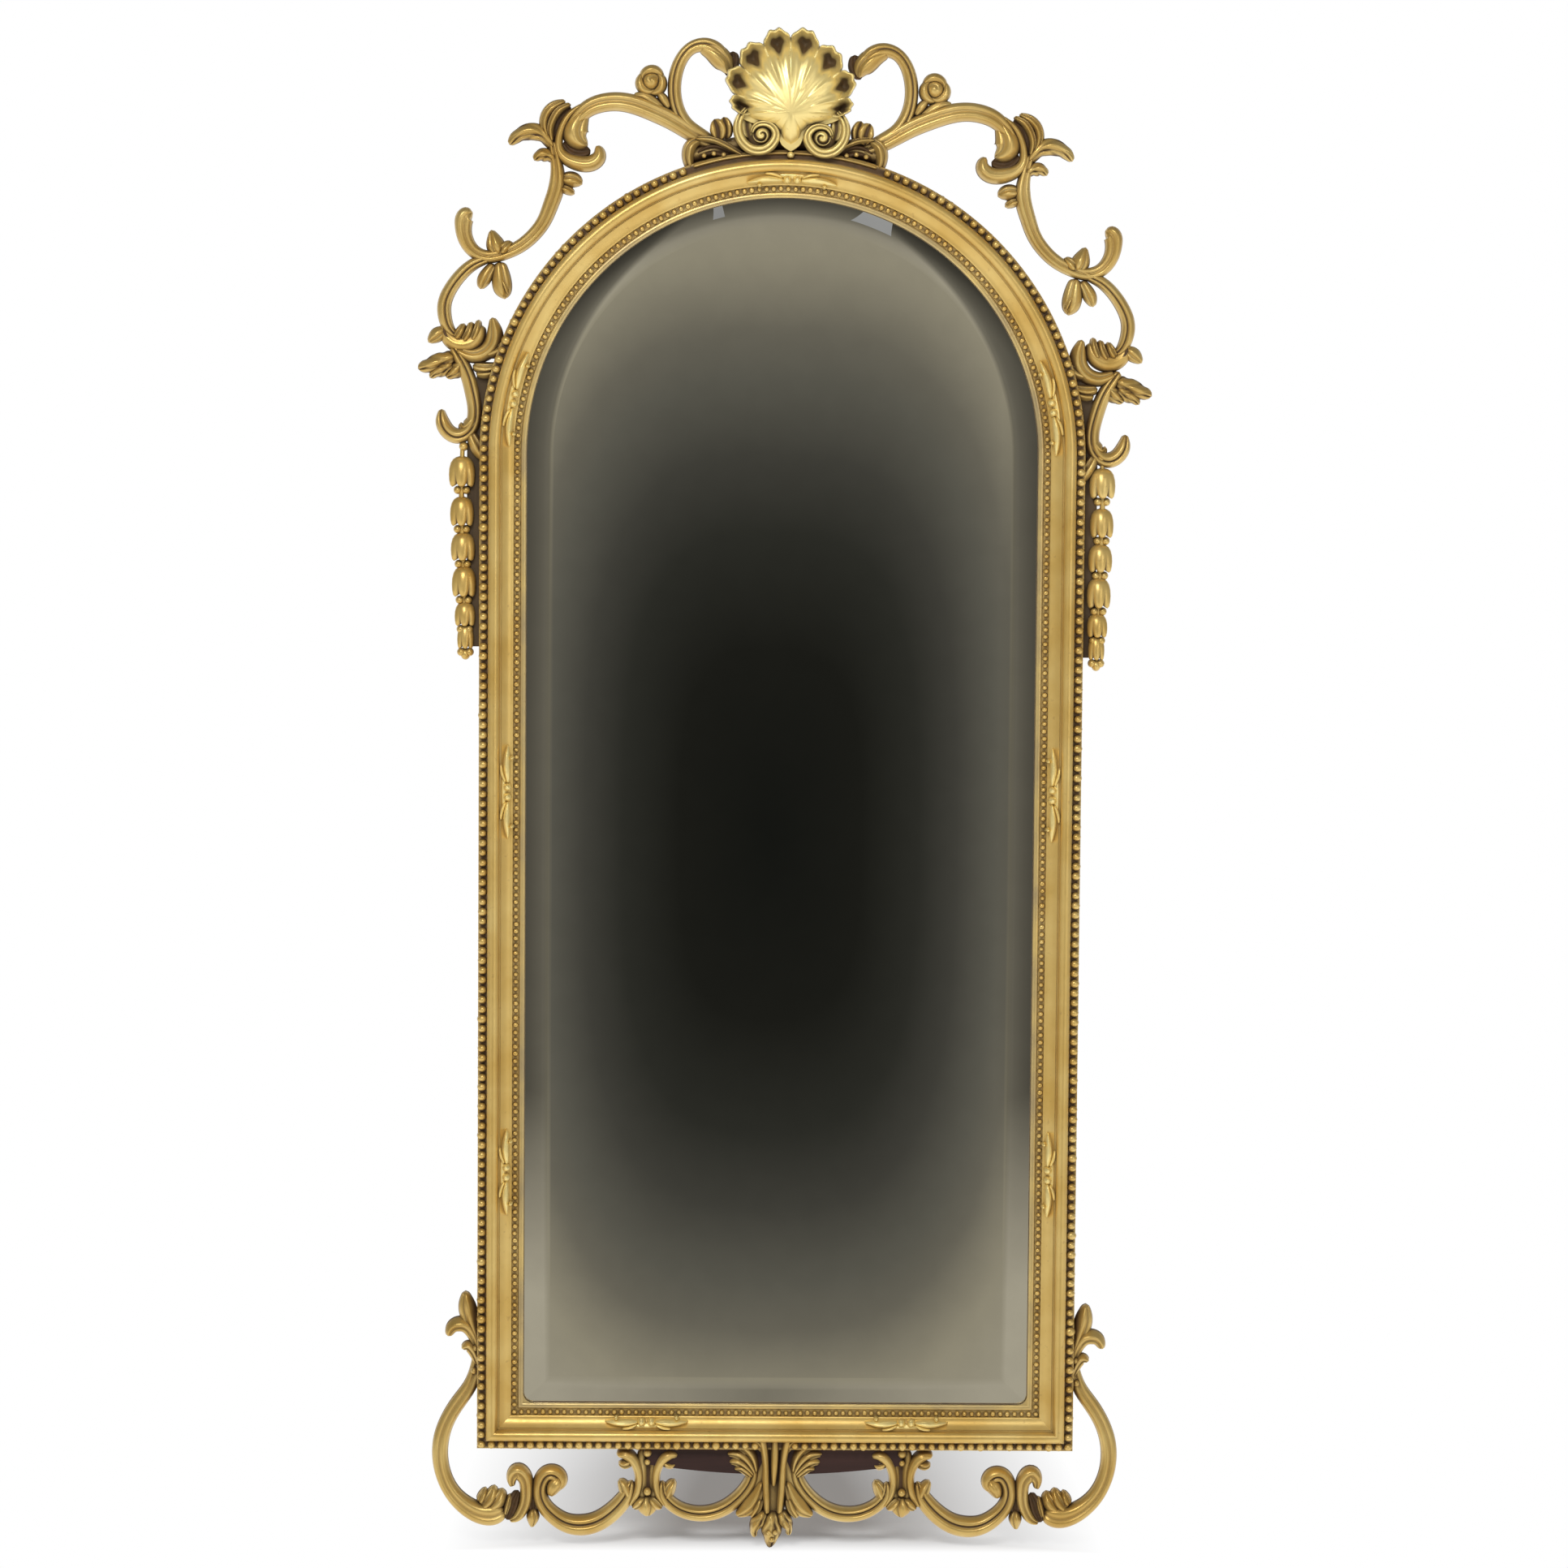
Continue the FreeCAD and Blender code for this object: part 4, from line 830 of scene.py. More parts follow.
def spray(carving, place, length, back):
    """Two slender leaves about two berries; place turns a step along the moulding into x and z."""
    bed = [(*place(share * length, 3.6), 9.5 - 14.0 * abs(share))
           for share in (-0.47, -0.3, -0.1, 0.1, 0.3, 0.47)]
    carving.cut(bud_section, 6.5, back, bed)
    blade = ((0.50, -1.2, 1.6), (0.41, -0.6, 5.5), (0.29, 0.2, 7.4), (0.18, -0.4, 6.4), (0.09, -1.0, 3.0))
    tip = ((0.10, 1.0, 3.0), (0.20, 4.4, 4.6), (0.30, 5.6, 3.0))
    for sign in (-1, 1):
        for leaf, height in ((blade, 12.5), (tip, 11.0)):
            rows = [(*place(sign * share * length, shift), width) for share, shift, width in leaf]
            # The leaves keep little painted shade, so that they stay bright.
            carving.add(lightly_shaded(carved(rows, bud_section, height, back)))
        for step, shift, size in ((4.6, -0.6, 4.2), (0.36 * length, -4.6, 2.2)):
            x, z = place(sign * step, shift)
            carving.add(dome(x, z, size, 12.0, back, around=16, rings=7))
    return carving


class GILT_OT_sprays(bpy.types.Operator):
    """Build the leaf sprays on the moulding."""

    bl_idname = "gilt_mirror.sprays"
    bl_label = "Sprays"

    def execute(self, context):
        # The sprays take the brighter leaf, a painted highlight.
        gold = finish("highlit_leaf")
        sight, foot = sight_edge()
        line = sight + SPRAY_LINE
        back = WALL_GAP + 18.5

        def round_arch(degrees):
            def place(step, shift):
                turn = math.radians(degrees) + step / line
                return (line + shift) * math.sin(turn), (line + shift) * math.cos(turn)
            return place

        crown, shoulders, stiles, rail = Carving(), Carving(), Carving(), Carving()
        spray(crown, round_arch(1.5), 84, back).piece("crown_spray", gold)
        for degrees in (-78.5, 79.5):
            spray(shoulders, round_arch(degrees), 90, back)
        shoulders.piece("shoulder_sprays", gold)
        for sign in (-1, 1):
            for drop, length in ((311, 88), (665, 81)):
                spray(stiles, lambda step, shift: (sign * (line + shift), step - drop), length, back)
        stiles.piece("stile_sprays", gold)
        for middle in (-120, 122):
            spray(rail, lambda step, shift: (middle + step, -foot - SPRAY_LINE - shift), 78, back)
        rail.piece("rail_sprays", gold)
        return {"FINISHED"}


class GILT_OT_plate(bpy.types.Operator):
    """Build the bevelled mirror plate."""

    bl_idname = "gilt_mirror.plate"
    bl_label = "Mirror plate"

    def execute(self, context):
        size = sizes()
        radius, foot = GLASS_HIGH.x, -GLASS_LOW.z
        inset = radius - size.sight_radius + size.bevel
        front, back = GLASS_LOW.y, GLASS_HIGH.y
        edge_share, arch_points, bevel_loops = 0.25, 145, 13
        edge = front + (back - front) * edge_share

        def outline(shrink, y):
            reach, floor, step = radius - shrink, foot - shrink, 0.001
            angles = np.linspace(0, np.pi, arch_points)
            arch = [(reach * math.cos(a), y, reach * math.sin(a)) for a in angles]
            corner = [(reach - step, y, -floor), (reach, y, -floor), (reach, y, step - floor)]
            return corner + arch + [(-x, y, z) for x, y, z in reversed(corner)]

        loops = [outline(0.0, back)]
        for share in np.linspace(0, 1, bevel_loops):
            loops.append(outline(inset * share, edge + (front - edge) * (1 - (1 - share) ** 2)))
        around = len(loops[0])
        points = [point for loop in loops for point in loop]
        last = (len(loops) - 1) * around
        faces = [tuple(range(around)), tuple(reversed(range(last, last + around)))]
        for ring in range(len(loops) - 1):
            a, b = ring * around, (ring + 1) * around
            faces += [(a + j, b + j, b + (j + 1) % around, a + (j + 1) % around) for j in range(around)]
        mesh = closed_mesh("mirror_plate", points, faces)
        flat = 2 + around
        mesh.polygons.foreach_set("use_smooth", [False] * flat + [True] * (len(faces) - flat))
        mesh.materials.append(finish("silvered_glass"))
        placed(mesh, "mirror_plate_bevelled", ("mirror_plate",))
        return {"FINISHED"}


# The cresting


SHELL_MIDDLE = (5.0, 312.0)
SHELL_LOBES = ((-84, 55), (-62, 68), (-34, 74), (-11.5, 78), (10, 78), (36, 71), (64, 66), (86, 56))
SHELL_TONGUE = ((95, 50), (102, 42), (112, 32), (126, 25), (150, 25), (164, 32), (180, 37))
CREST_FRONT = 21.5


def shell_form():
    """Scallop: a full bright bowl, ridges that spread from it, and lobes rolled over dark hollows."""
    centres = np.array([lobe[0] for lobe in SHELL_LOBES], float)
    reaches = np.array([lobe[1] for lobe in SHELL_LOBES], float)
    edges = np.concatenate([[centres[0] - 9], (centres[1:] + centres[:-1]) / 2, [centres[-1] + 9]])
    degrees = np.linspace(-180, 180, 451)[:-1]
    inside = (degrees > edges[0]) & (degrees < edges[-1])
    which = np.clip(np.searchsorted(edges, degrees) - 1, 0, len(centres) - 1)
    phase = np.clip((degrees - edges[which]) / (edges[which + 1] - edges[which]), 0, 1)
    flute = np.where(inside, np.sin(np.pi * phase), 0.0)
    below = np.array(SHELL_TONGUE, float)
    stations = np.concatenate([-below[::-1, 0], centres, below[:, 0]])
    reach = np.interp(degrees, stations, np.concatenate([below[::-1, 1], reaches, below[:, 1]]))
    ripple = 0.016 * np.cos(6 * np.pi * phase) * flute
    rim = reach * np.where(inside, 0.86 + 0.14 * flute ** 0.55 + ripple, 0.97)
    shares = np.concatenate([np.linspace(1, 0.60, 30), np.linspace(0.58, 0.03, 22)])
    rho = shares[:, None]
    wave = flute[None, :]
    fan = inside.astype(float)[None, :]
    bowl = 9 + 15 * np.clip(1 - (rho / 0.80) ** 2.0, 0, 1) ** 0.75
    ridge = 6.0 * (1 - wave) ** 1.4 * np.clip((rho - 0.30) / 0.4, 0, 1) * fan
    inwards = np.clip((0.86 - rho) / 0.30, 0, 1)
    pit = wave ** (1.5 + 7 * inwards) * dip(rho, 0.83, np.where(rho > 0.83, 0.075, 0.15)) * fan
    hollow = -9.0 * pit
    roll = (8.5 + 90 * ripple[None, :]) * (0.45 + 0.55 * wave) * dip(rho, 0.965, 0.042) * fan
    height = (bowl + ridge + hollow + roll) * np.clip((1 - rho) / 0.02, 0, 1) ** 0.5
    turn = np.radians(degrees)[None, :]
    x = SHELL_MIDDLE[0] + rim[None, :] * rho * np.sin(turn)
    z = SHELL_MIDDLE[1] + rim[None, :] * rho * np.cos(turn)
    points = np.stack([x, -(CREST_FRONT + np.clip(height, 0, 26)), z], -1)
    # Painted shade in the hollows under the lobes, on the low parts and between the lobes at the rim.
    shade = np.clip(1.25 * pit + 0.8 * np.clip(1 - height / 4.0, 0, 1)
                    + 0.8 * (1 - wave) ** 5 * dip(rho, 0.96, 0.05) * fan, 0, 1)
    heel = np.array([[SHELL_MIDDLE[0], -CREST_FRONT, SHELL_MIDDLE[1]]])
    crown = points[-1].mean(0)[None]
    mesh = np.concatenate([points.reshape(-1, 3), heel, crown])
    return mesh, tube_faces(len(shares), len(degrees)), np.concatenate([shade.ravel(), [1, 0]])


class GILT_OT_shell(bpy.types.Operator):
    """Build the scallop shell, the two volutes under it and the base that carries them."""

    bl_idname = "gilt_mirror.shell"
    bl_label = "Shell"

    def execute(self, context):
        gold = finish("burnished_and_highlit_leaf")
        shell = Carving()
        shell.add(shell_form())
        shell.piece("shell", gold)
        volutes = Carving()
        band = ((-35, 316, 5), (-42, 306, 8), (-43, 294, 9), (-38, 284, 9.5), (-29, 278, 10),
                (-18.5, 278.5, 10), (-11, 285, 9.5), (-8.5, 293.5, 9), (-13, 300, 8), (-21, 302, 7),
                (-28, 299, 6), (-31, 292.5, 4))
        scoop = ((-34, 312, 8), (-35.5, 300, 13), (-33, 289, 10))
        # The dark disc behind each volute is painted shade.
        forms = (carved(band, scroll_section, 17, CREST_FRONT), darkened(dome(-22, 291, 13, 6, CREST_FRONT)),
                 dome(-21.5, 291.5, 9, 14, CREST_FRONT, groove=0.45, turns=1.4, rings=16),
                 carved(scoop, cup_section, 9, CREST_FRONT))
        for right in (False, True):
            shift = np.array([11.8, 0, 2.4]) if right else 0.0
            for points, faces, shade in forms:
                volutes.on(right).add((points - shift, faces, shade))
        volutes.on(False).add(berry(5, 273.5, 3.6, CREST_FRONT + 6))
        volutes.piece("volutes", gold)
        self.base()
        return {"FINISHED"}

    def base(self):
        """Base on the crown of the arch: a channel painted dark as shade between two curled ends."""
        gold = finish("gold_leaf")
        board, back = 7.0, 11.0
        base = Carving()
        for reach, width, height in ((286.5, 15, 12), (275.5, 8, 22)):
            bow = [(reach * math.sin(math.radians(turn)), reach * math.cos(math.radians(turn)), width)
                   for turn in range(-18, 19, 4)]
            base.cut(bud_section, height, board, bow)
        ends = (((-86, 260, 8), (-88.5, 272, 12), (-85, 283, 12), (-77, 287, 7)),
                ((-82, 288, 6), (-66, 287, 7.5), (-52, 281, 7.5), (-41, 275, 6.5), (-32, 270, 3.5)))
        channel = ((-80, 273, 6), (-66, 278, 11), (-53, 274.5, 9), (-42, 270.5, 4))
        for right in (False, True):
            base.on(right)
            base.cut(leaf_section, 20, back, *ends)
            base.cut(cup_section, 16, back + 0.5, channel, dark=True)
            for x, z in ((-74, 272.5), (-65, 274.5), (-56, 273.5)):
                base.add(berry(x, z, 2.4, back + 14.0))
        base.piece("crest_plate", gold)


WING_LEAN = 2.4
BRACKET_LEAN = 3.4
HUSK_DROP = 6.5
FOOT_DROP = 9.0
SCROLL_BACK = 8.0
LOOP_BACK = 8.4
LEAF_BACK = 8.8


class GILT_OT_wings(bpy.types.Operator):
    """Build the pierced wings of the cresting: loops, long scrolls, rosettes and leaves."""

    bl_idname = "gilt_mirror.wings"
    bl_label = "Crest wings"

    def execute(self, context):
        gold = finish("gold_leaf")
        rosettes, leaves = Carving(), Carving()
        for right, name in SIDES:
            self.scroll(Carving(right, WING_LEAN)).piece("crest_scroll_" + name, gold)
            self.loop(Carving(right, WING_LEAN)).piece("crest_loop_" + name, gold)
            self.rosette(rosettes.on(right, WING_LEAN))
            self.leaves(leaves.on(right, WING_LEAN))
        rosettes.piece("rosettes", gold)
        leaves.piece("crest_leaves", gold)
        return {"FINISHED"}

    def scroll(self, carving):
        """Long arm that rolls over a fat bud and ends in a lobe."""
        arm = ((-58, 281, 11), (-72, 286, 14), (-86, 294, 16), (-104, 305, 17.5), (-120, 312.5, 18),
               (-136, 318.5, 18), (-153, 321.5, 17.5), (-168, 320, 17), (-179.5, 315.5, 16),
               (-188.5, 308, 14), (-196, 299, 10), (-200.5, 290, 5))
        carving.cut(scroll_section, 15, SCROLL_BACK, arm)
        rim = ((-186, 318, 4), (-197, 309.5, 6.5), (-204, 298, 7.5), (-207, 286.5, 8), (-206, 276.5, 9.5),
               (-200, 269.5, 12), (-192, 266, 14), (-183.5, 264.5, 15), (-175.5, 266, 15),
               (-170.5, 271, 14), (-170.5, 277.5, 9.5), (-173, 281, 4))
        carving.cut(bud_section, 16, SCROLL_BACK + 1.0, rim)
        bulb = ((-183, 313, 10), (-189, 303, 20), (-192, 292.5, 25), (-187.5, 284.5, 18), (-180.5, 281, 7))
        carving.cut(leaf_section, 16, SCROLL_BACK, bulb)
        hollow = ((-202, 285, 8), (-195, 277.5, 12), (-186, 275.5, 12), (-178, 277.5, 8))
        carving.cut(cup_section, 9, SCROLL_BACK, hollow, dark=True)
        return carving

    def loop(self, carving):
        """C loop that droops against the shell, with a hollow leaf at its foot."""
        bow = ((-62, 282, 11), (-76, 291, 13), (-90, 301, 13.5), (-98, 314, 13), (-101.5, 331, 12.5),
               (-100, 348, 12.5), (-94, 362.5, 12), (-85.5, 371, 12), (-75, 373.5, 13.5), (-65, 370, 15),
               (-57.5, 363, 12), (-54, 355, 6))
        carving.cut(reed_section, 13, LOOP_BACK, bow)
        bulb = ((-79, 371.5, 9), (-67, 367.5, 18), (-58, 360, 20), (-53.5, 352.5, 14), (-53, 347, 5))
        carving.cut(leaf_section, 15, LOOP_BACK, bulb)
        hollow = ((-48, 368, 8), (-49, 358, 14), (-54, 346, 7))
        carving.cut(cup_section, 9, LOOP_BACK, hollow, dark=True)
        foot_cups = (((-61, 286, 8), (-61, 296.5, 16), (-65, 306, 8)),
                     ((-54, 288, 8), (-54, 298, 13), (-56.5, 308, 6)))
        carving.cut(cup_section, 14, CREST_FRONT - 6, *foot_cups)
        return carving

    def rosette(self, carving):
        """Wound rose on a small leaf, with a bud beside it."""
        x, z = -122.5, 340
        # The dark disc behind the rose is painted shade.
        carving.add(darkened(dome(x, z, 13, 8, LEAF_BACK)))
        for start in (20, 140, 260):
            petal = []
            for turn, reach, width in ((0, 11, 4), (40, 10.5, 9), (85, 10, 10), (130, 9, 7), (160, 7, 4)):
                angle = math.radians(start + turn)
                petal.append((x + reach * math.cos(angle), z + reach * math.sin(angle), width))
            carving.cut(bud_section, 13, LEAF_BACK, petal)
        carving.add(dome(x, z, 9.0, 16, LEAF_BACK, groove=0.13, turns=0.7, rings=16))
        foot = ((-139, 327, 4), (-131, 327, 9), (-121, 322, 10), (-111, 315, 6))
        carving.cut(bud_section, 11, LEAF_BACK, foot)
        bud = ((-117, 331, 5), (-112, 325, 9), (-106, 315, 6))
        carving.cut(bud_section, 11, LEAF_BACK, bud)

    def leaves(self, carving):
        """Acanthus behind the head of the wing."""
        strands = (((-213, 284, 6), (-215, 295.5, 8.5), (-212, 306, 9), (-205.5, 314.5, 8.5),
                    (-196, 318.5, 4)),
                   ((-217, 288, 6), (-220.5, 300, 9), (-218, 310.5, 10), (-210, 318, 9), (-201, 321.5, 4)))
        carving.cut(leaf_section, 13, LEAF_BACK, *strands)
        gap = ((-208, 288, 10), (-208, 300, 16), (-203, 311, 12), (-196, 316, 5))
        carving.cut(cup_section, 7, LEAF_BACK, gap, dark=True)
        tips = (((-212, 279, 9), (-219, 288.5, 13.5), (-228.5, 293.5, 16), (-238.5, 292.5, 15),
                 (-247, 287.5, 11.5), (-252, 281.5, 5)),
                ((-210, 268, 8), (-218, 272.5, 12.5), (-224.5, 272, 11.5), (-229.5, 267.5, 4.5)))
        carving.cut(leaf_section, 13, LEAF_BACK, *tips, lobes=2, notch=0.12, curl=2)


class GILT_OT_shoulders(bpy.types.Operator):
    """Build the shoulder scrolls, the branches under them and their buds."""

    bl_idname = "gilt_mirror.shoulders"
    bl_label = "Shoulder scrolls"

    def execute(self, context):
        gold = finish("gold_leaf")
        buds = Carving()
        for right, name in SIDES:
            self.scroll(Carving(right, WING_LEAN)).piece("shoulder_scroll_" + name, gold)
            self.branch(Carving(right, WING_LEAN)).piece("branch_scroll_" + name, gold)
            self.buds(buds.on(right, WING_LEAN))
        buds.piece("shoulder_buds", gold)
        return {"FINISHED"}

    def scroll(self, carving):
        """Stem from the wing down to the shoulder, with a two-pointed spur and a tuft."""
        stem = ((-213, 285, 7), (-210.5, 273.5, 10), (-208.5, 262, 12), (-208, 250, 14.5), (-210, 239, 15),
                (-214, 227.5, 14.5), (-220, 213, 13.5), (-229.5, 200, 13), (-242, 189.5, 12.5),
                (-256.5, 182.5, 12), (-271, 179.5, 12), (-283, 183.5, 12.5), (-291.5, 194.5, 14),
                (-294, 207.5, 16), (-291, 217.5, 15.5), (-285.5, 219.5, 9))
        carving.cut(scroll_section, 14, SCROLL_BACK, stem)
        spur = (((-205, 250, 10), (-198, 250.5, 15), (-190.5, 249, 13), (-185.5, 246, 5)),
                ((-205, 243, 7), (-198, 240.5, 9), (-192.5, 237, 4)))
        carving.cut(leaf_section, 13, SCROLL_BACK, *spur)
        tuft = (((-261, 181, 12), (-264.5, 190, 17.5), (-267, 198.5, 11), (-268.5, 204, 4)),
                ((-260, 182, 11), (-254.5, 189, 11), (-249, 193, 5)))
        carving.cut(leaf_section, 15, SCROLL_BACK, *tuft)
        return carving

    def branch(self, carving):
        """Outer C scroll that rolls into a leafy head."""
        arm = ((-264, 181, 6), (-273, 177.5, 9), (-283, 173.5, 11), (-295, 164, 12), (-305, 151, 12.5),
               (-311, 136.5, 13), (-310.5, 123, 12.5), (-306, 112.5, 10), (-300, 107, 6))
        carving.cut(reed_section, 13, LOOP_BACK, arm)
        cup = ((-312, 118, 8), (-308.5, 106.5, 13), (-299, 100, 17), (-288, 101, 18), (-280, 108, 15),
               (-277, 117, 8))
        carving.cut(bud_section, 12, LOOP_BACK, cup)
        fingers = (((-301, 104, 8), (-296, 111.5, 10), (-293, 118.5, 5)),
                   ((-294, 102, 8), (-288.5, 111, 10), (-286, 120, 5)),
                   ((-286, 103, 8), (-281.5, 112, 9.5), (-279.5, 122, 4.5)))
        carving.cut(leaf_section, 16, LOOP_BACK, *fingers)
        hollow = ((-309, 119, 7), (-306.5, 109, 12), (-298, 104.5, 8))
        carving.cut(cup_section, 13, LOOP_BACK, hollow, dark=True)
        return carving

    def buds(self, carving):
        """Pair of lobes that hang under the shoulder."""
        lobes = (((-261, 175, 11), (-259.5, 163, 17), (-258, 152, 18), (-256.5, 145, 12.5),
                  (-256, 141, 5)),
                 ((-266, 173, 8), (-272, 164, 12.5), (-276, 156.5, 12), (-278.5, 150, 5)),
                 ((-259, 160, 5), (-254.5, 152, 8), (-252.5, 145, 5)))
        carving.cut(leaf_section, 13, LEAF_BACK, *lobes)


class GILT_OT_brackets(bpy.types.Operator):
    """Build the side brackets with their leaves."""

    bl_idname = "gilt_mirror.brackets"
    bl_label = "Brackets"

    def execute(self, context):
        gold = finish("gold_leaf")
        leaves = Carving()
        for right, name in SIDES:
            bracket = Carving(right, BRACKET_LEAN)
            stem = ((-304, 97, 8), (-296.5, 85, 12), (-290, 71.5, 13.5), (-285.5, 55.5, 14), (-283, 41, 14),
                    (-284, 29, 14), (-290, 19, 14), (-299.5, 15.5, 14.5), (-308.5, 20.5, 14.5),
                    (-313, 30, 12.5), (-313.5, 40, 5))
            bracket.cut(reed_section, 14, LOOP_BACK, stem)
            lobes = (((-300, 95, 9), (-285, 89, 14), (-273, 92.5, 16), (-265.5, 102.5, 17),
                      (-265, 113.5, 13.5), (-267, 124, 5)),
                     ((-274, 90.5, 9), (-262, 94.5, 14), (-253.5, 101, 10), (-250.5, 106, 4)),
                     ((-285, 80, 8), (-273, 77.5, 12), (-261.5, 80, 7)),
                     ((-282, 73, 7), (-272, 73, 10), (-262, 75.5, 5)),
                     ((-287, 19, 9), (-282, 8, 14), (-277, 0, 13), (-273, -6, 6)))
            bracket.cut(leaf_section, 15, LOOP_BACK + 1.5, *lobes, curl=7)
            inner = ((-282, 36, 8), (-287, 27, 12.5), (-294, 23.5, 9), (-296, 28, 4))
            bracket.cut(leaf_section, 14, LOOP_BACK, inner)
            bracket.piece("bracket_" + name, gold)
            blades = (((-301, 88, 13), (-312.5, 84, 17.5), (-323.5, 80, 16), (-330.5, 78.5, 11.5),
                       (-335.5, 77, 5)),
                      ((-303, 82, 10), (-312, 76.5, 13), (-320, 72.5, 9.5), (-324.5, 68.5, 4)),
                      ((-294, 86, 9), (-299, 76.5, 15), (-305.5, 71.5, 10), (-310, 69.5, 4)))
            leaves.on(right, BRACKET_LEAN)
            leaves.cut(leaf_section, 14, LEAF_BACK, *blades, lobes=2, notch=0.14)
            spur = ((-310, 113, 8), (-317.5, 108, 14), (-322.5, 104, 10), (-326, 101, 4))
            leaves.on(right, WING_LEAN)
            leaves.cut(leaf_section, 12, LEAF_BACK, spur)
        leaves.piece("bracket_leaves", gold)
        return {"FINISHED"}


class GILT_OT_husks(bpy.types.Operator):
    """Build the drops of husks."""

    bl_idname = "gilt_mirror.husks"
    bl_label = "Husk drops"

    def execute(self, context):
        gold = finish("frame_leaf")
        chain = ((-294.5, -3, 28, 25.5), (-294.5, -40, 27, 23), (-293.5, -73, 26, 23.5),
                 (-292.5, -104, 28, 23.5), (-291.5, -137, 22, 20), (-291, -158, 22, 16))
        back = 13.0
        for right, name in SIDES:
            drop = Carving(right, 0.0, HUSK_DROP)
            drop.add(berry(-293, 6, 4.4, back))
            for x, z, length, width in chain:
                drop.add(husk(x, z, length, width, back))
                for shift in (-3.8, 3.8):
                    drop.add(berry(x + shift, z - length - 3.0, 4.0, back))
            drop.add(berry(-291, -185, 4.4, back, squeeze=1.2))
            core = ((-294, 10, 4), (-295, -40, 5), (-293, -110, 5), (-291, -182, 3))
            drop.cut(bud_section, 4, back, core)
            drop.piece("husk_drop_" + name, gold)
        return {"FINISHED"}


class GILT_OT_feet(bpy.types.Operator):
    """Build the scrolls at the lower corners, with their leaves and curls."""

    bl_idname = "gilt_mirror.feet"
    bl_label = "Corner scrolls"

    def execute(self, context):
        gold = finish("gold_leaf")
        leaves, curls = Carving(), Carving()
        for right, name in SIDES:
            scroll = Carving(right)
            stem = ((-278, -838, 9), (-279.5, -853, 12), (-285, -869, 13.5), (-295.5, -884.5, 14.5),
                    (-305.5, -901, 14.5), (-312, -920, 15), (-313, -937.5, 15), (-309.5, -955, 15),
                    (-301, -971.5, 16), (-288, -984, 18.5), (-274, -990.5, 21.5), (-262, -990.5, 22),
                    (-252, -986.5, 14))
            scroll.cut(scroll_section, 14, SCROLL_BACK, stem)
            tuft = (((-274, -985, 12), (-265, -974, 15), (-262, -964, 5)),
                    ((-268, -986, 12), (-257.5, -976, 16), (-254.5, -967, 6)),
                    ((-276, -980, 9), (-272, -971, 9), (-270.5, -966, 3.5)))
            scroll.cut(leaf_section, 15, SCROLL_BACK, *tuft)
            scroll.piece("corner_scroll_" + name, gold)
            blades = (((-277, -842, 8), (-280, -823, 14), (-285, -807, 17), (-288.5, -791, 15.5),
                       (-289.5, -780, 6)),
                      ((-277, -840, 8), (-282, -821, 13), (-291, -811.5, 15), (-300.5, -813, 13.5),
                       (-305.5, -822.5, 6)),
                      ((-277, -850, 8), (-281, -838, 11.5), (-287.5, -831.5, 10.5), (-293, -834, 4.5)))
            bed = ((-278, -795, 7), (-279, -814, 12), (-280, -838, 9))
            leaves.on(right, 0.0, FOOT_DROP)
            leaves.cut(cup_section, 8, LEAF_BACK, bed, dark=True)
            leaves.cut(leaf_section, 14, LEAF_BACK, *blades, curl=2)
            for x, z in ((-281, -854), (-280, -833)):
                leaves.add(berry(x, z, 3.4, LEAF_BACK + 8))
            curl = ((-245, -965, 5), (-245.5, -956, 11.5), (-240.5, -950.5, 16), (-234.5, -955, 15),
                    (-232, -965.5, 13), (-232.5, -976.5, 12), (-236, -987, 11), (-242.5, -995, 8),
                    (-248, -997, 3.5))
            curls.on(right)
            curls.cut(scroll_section, 15, LOOP_BACK, curl)
            hollows = (((-240, -969, 6), (-244.5, -979, 11.5), (-247.5, -989, 10.5), (-250.5, -997, 4)),
                       ((-225.5, -960, 8), (-226, -974, 13), (-226, -988, 8)))
            curls.cut(cup_section, 10, LEAF_BACK, *hollows, dark=True)
            lips = (((-247, -972, 4), (-249.5, -982, 7), (-252, -992, 4)),
                    ((-226, -985, 6), (-226, -993, 12.5), (-226.5, -999, 9), (-227, -1004, 3)))
            curls.cut(leaf_section, 12, LEAF_BACK, *lips)
        leaves.piece("foot_leaves", gold)
        curls.piece("s_curls", gold)
        return {"FINISHED"}


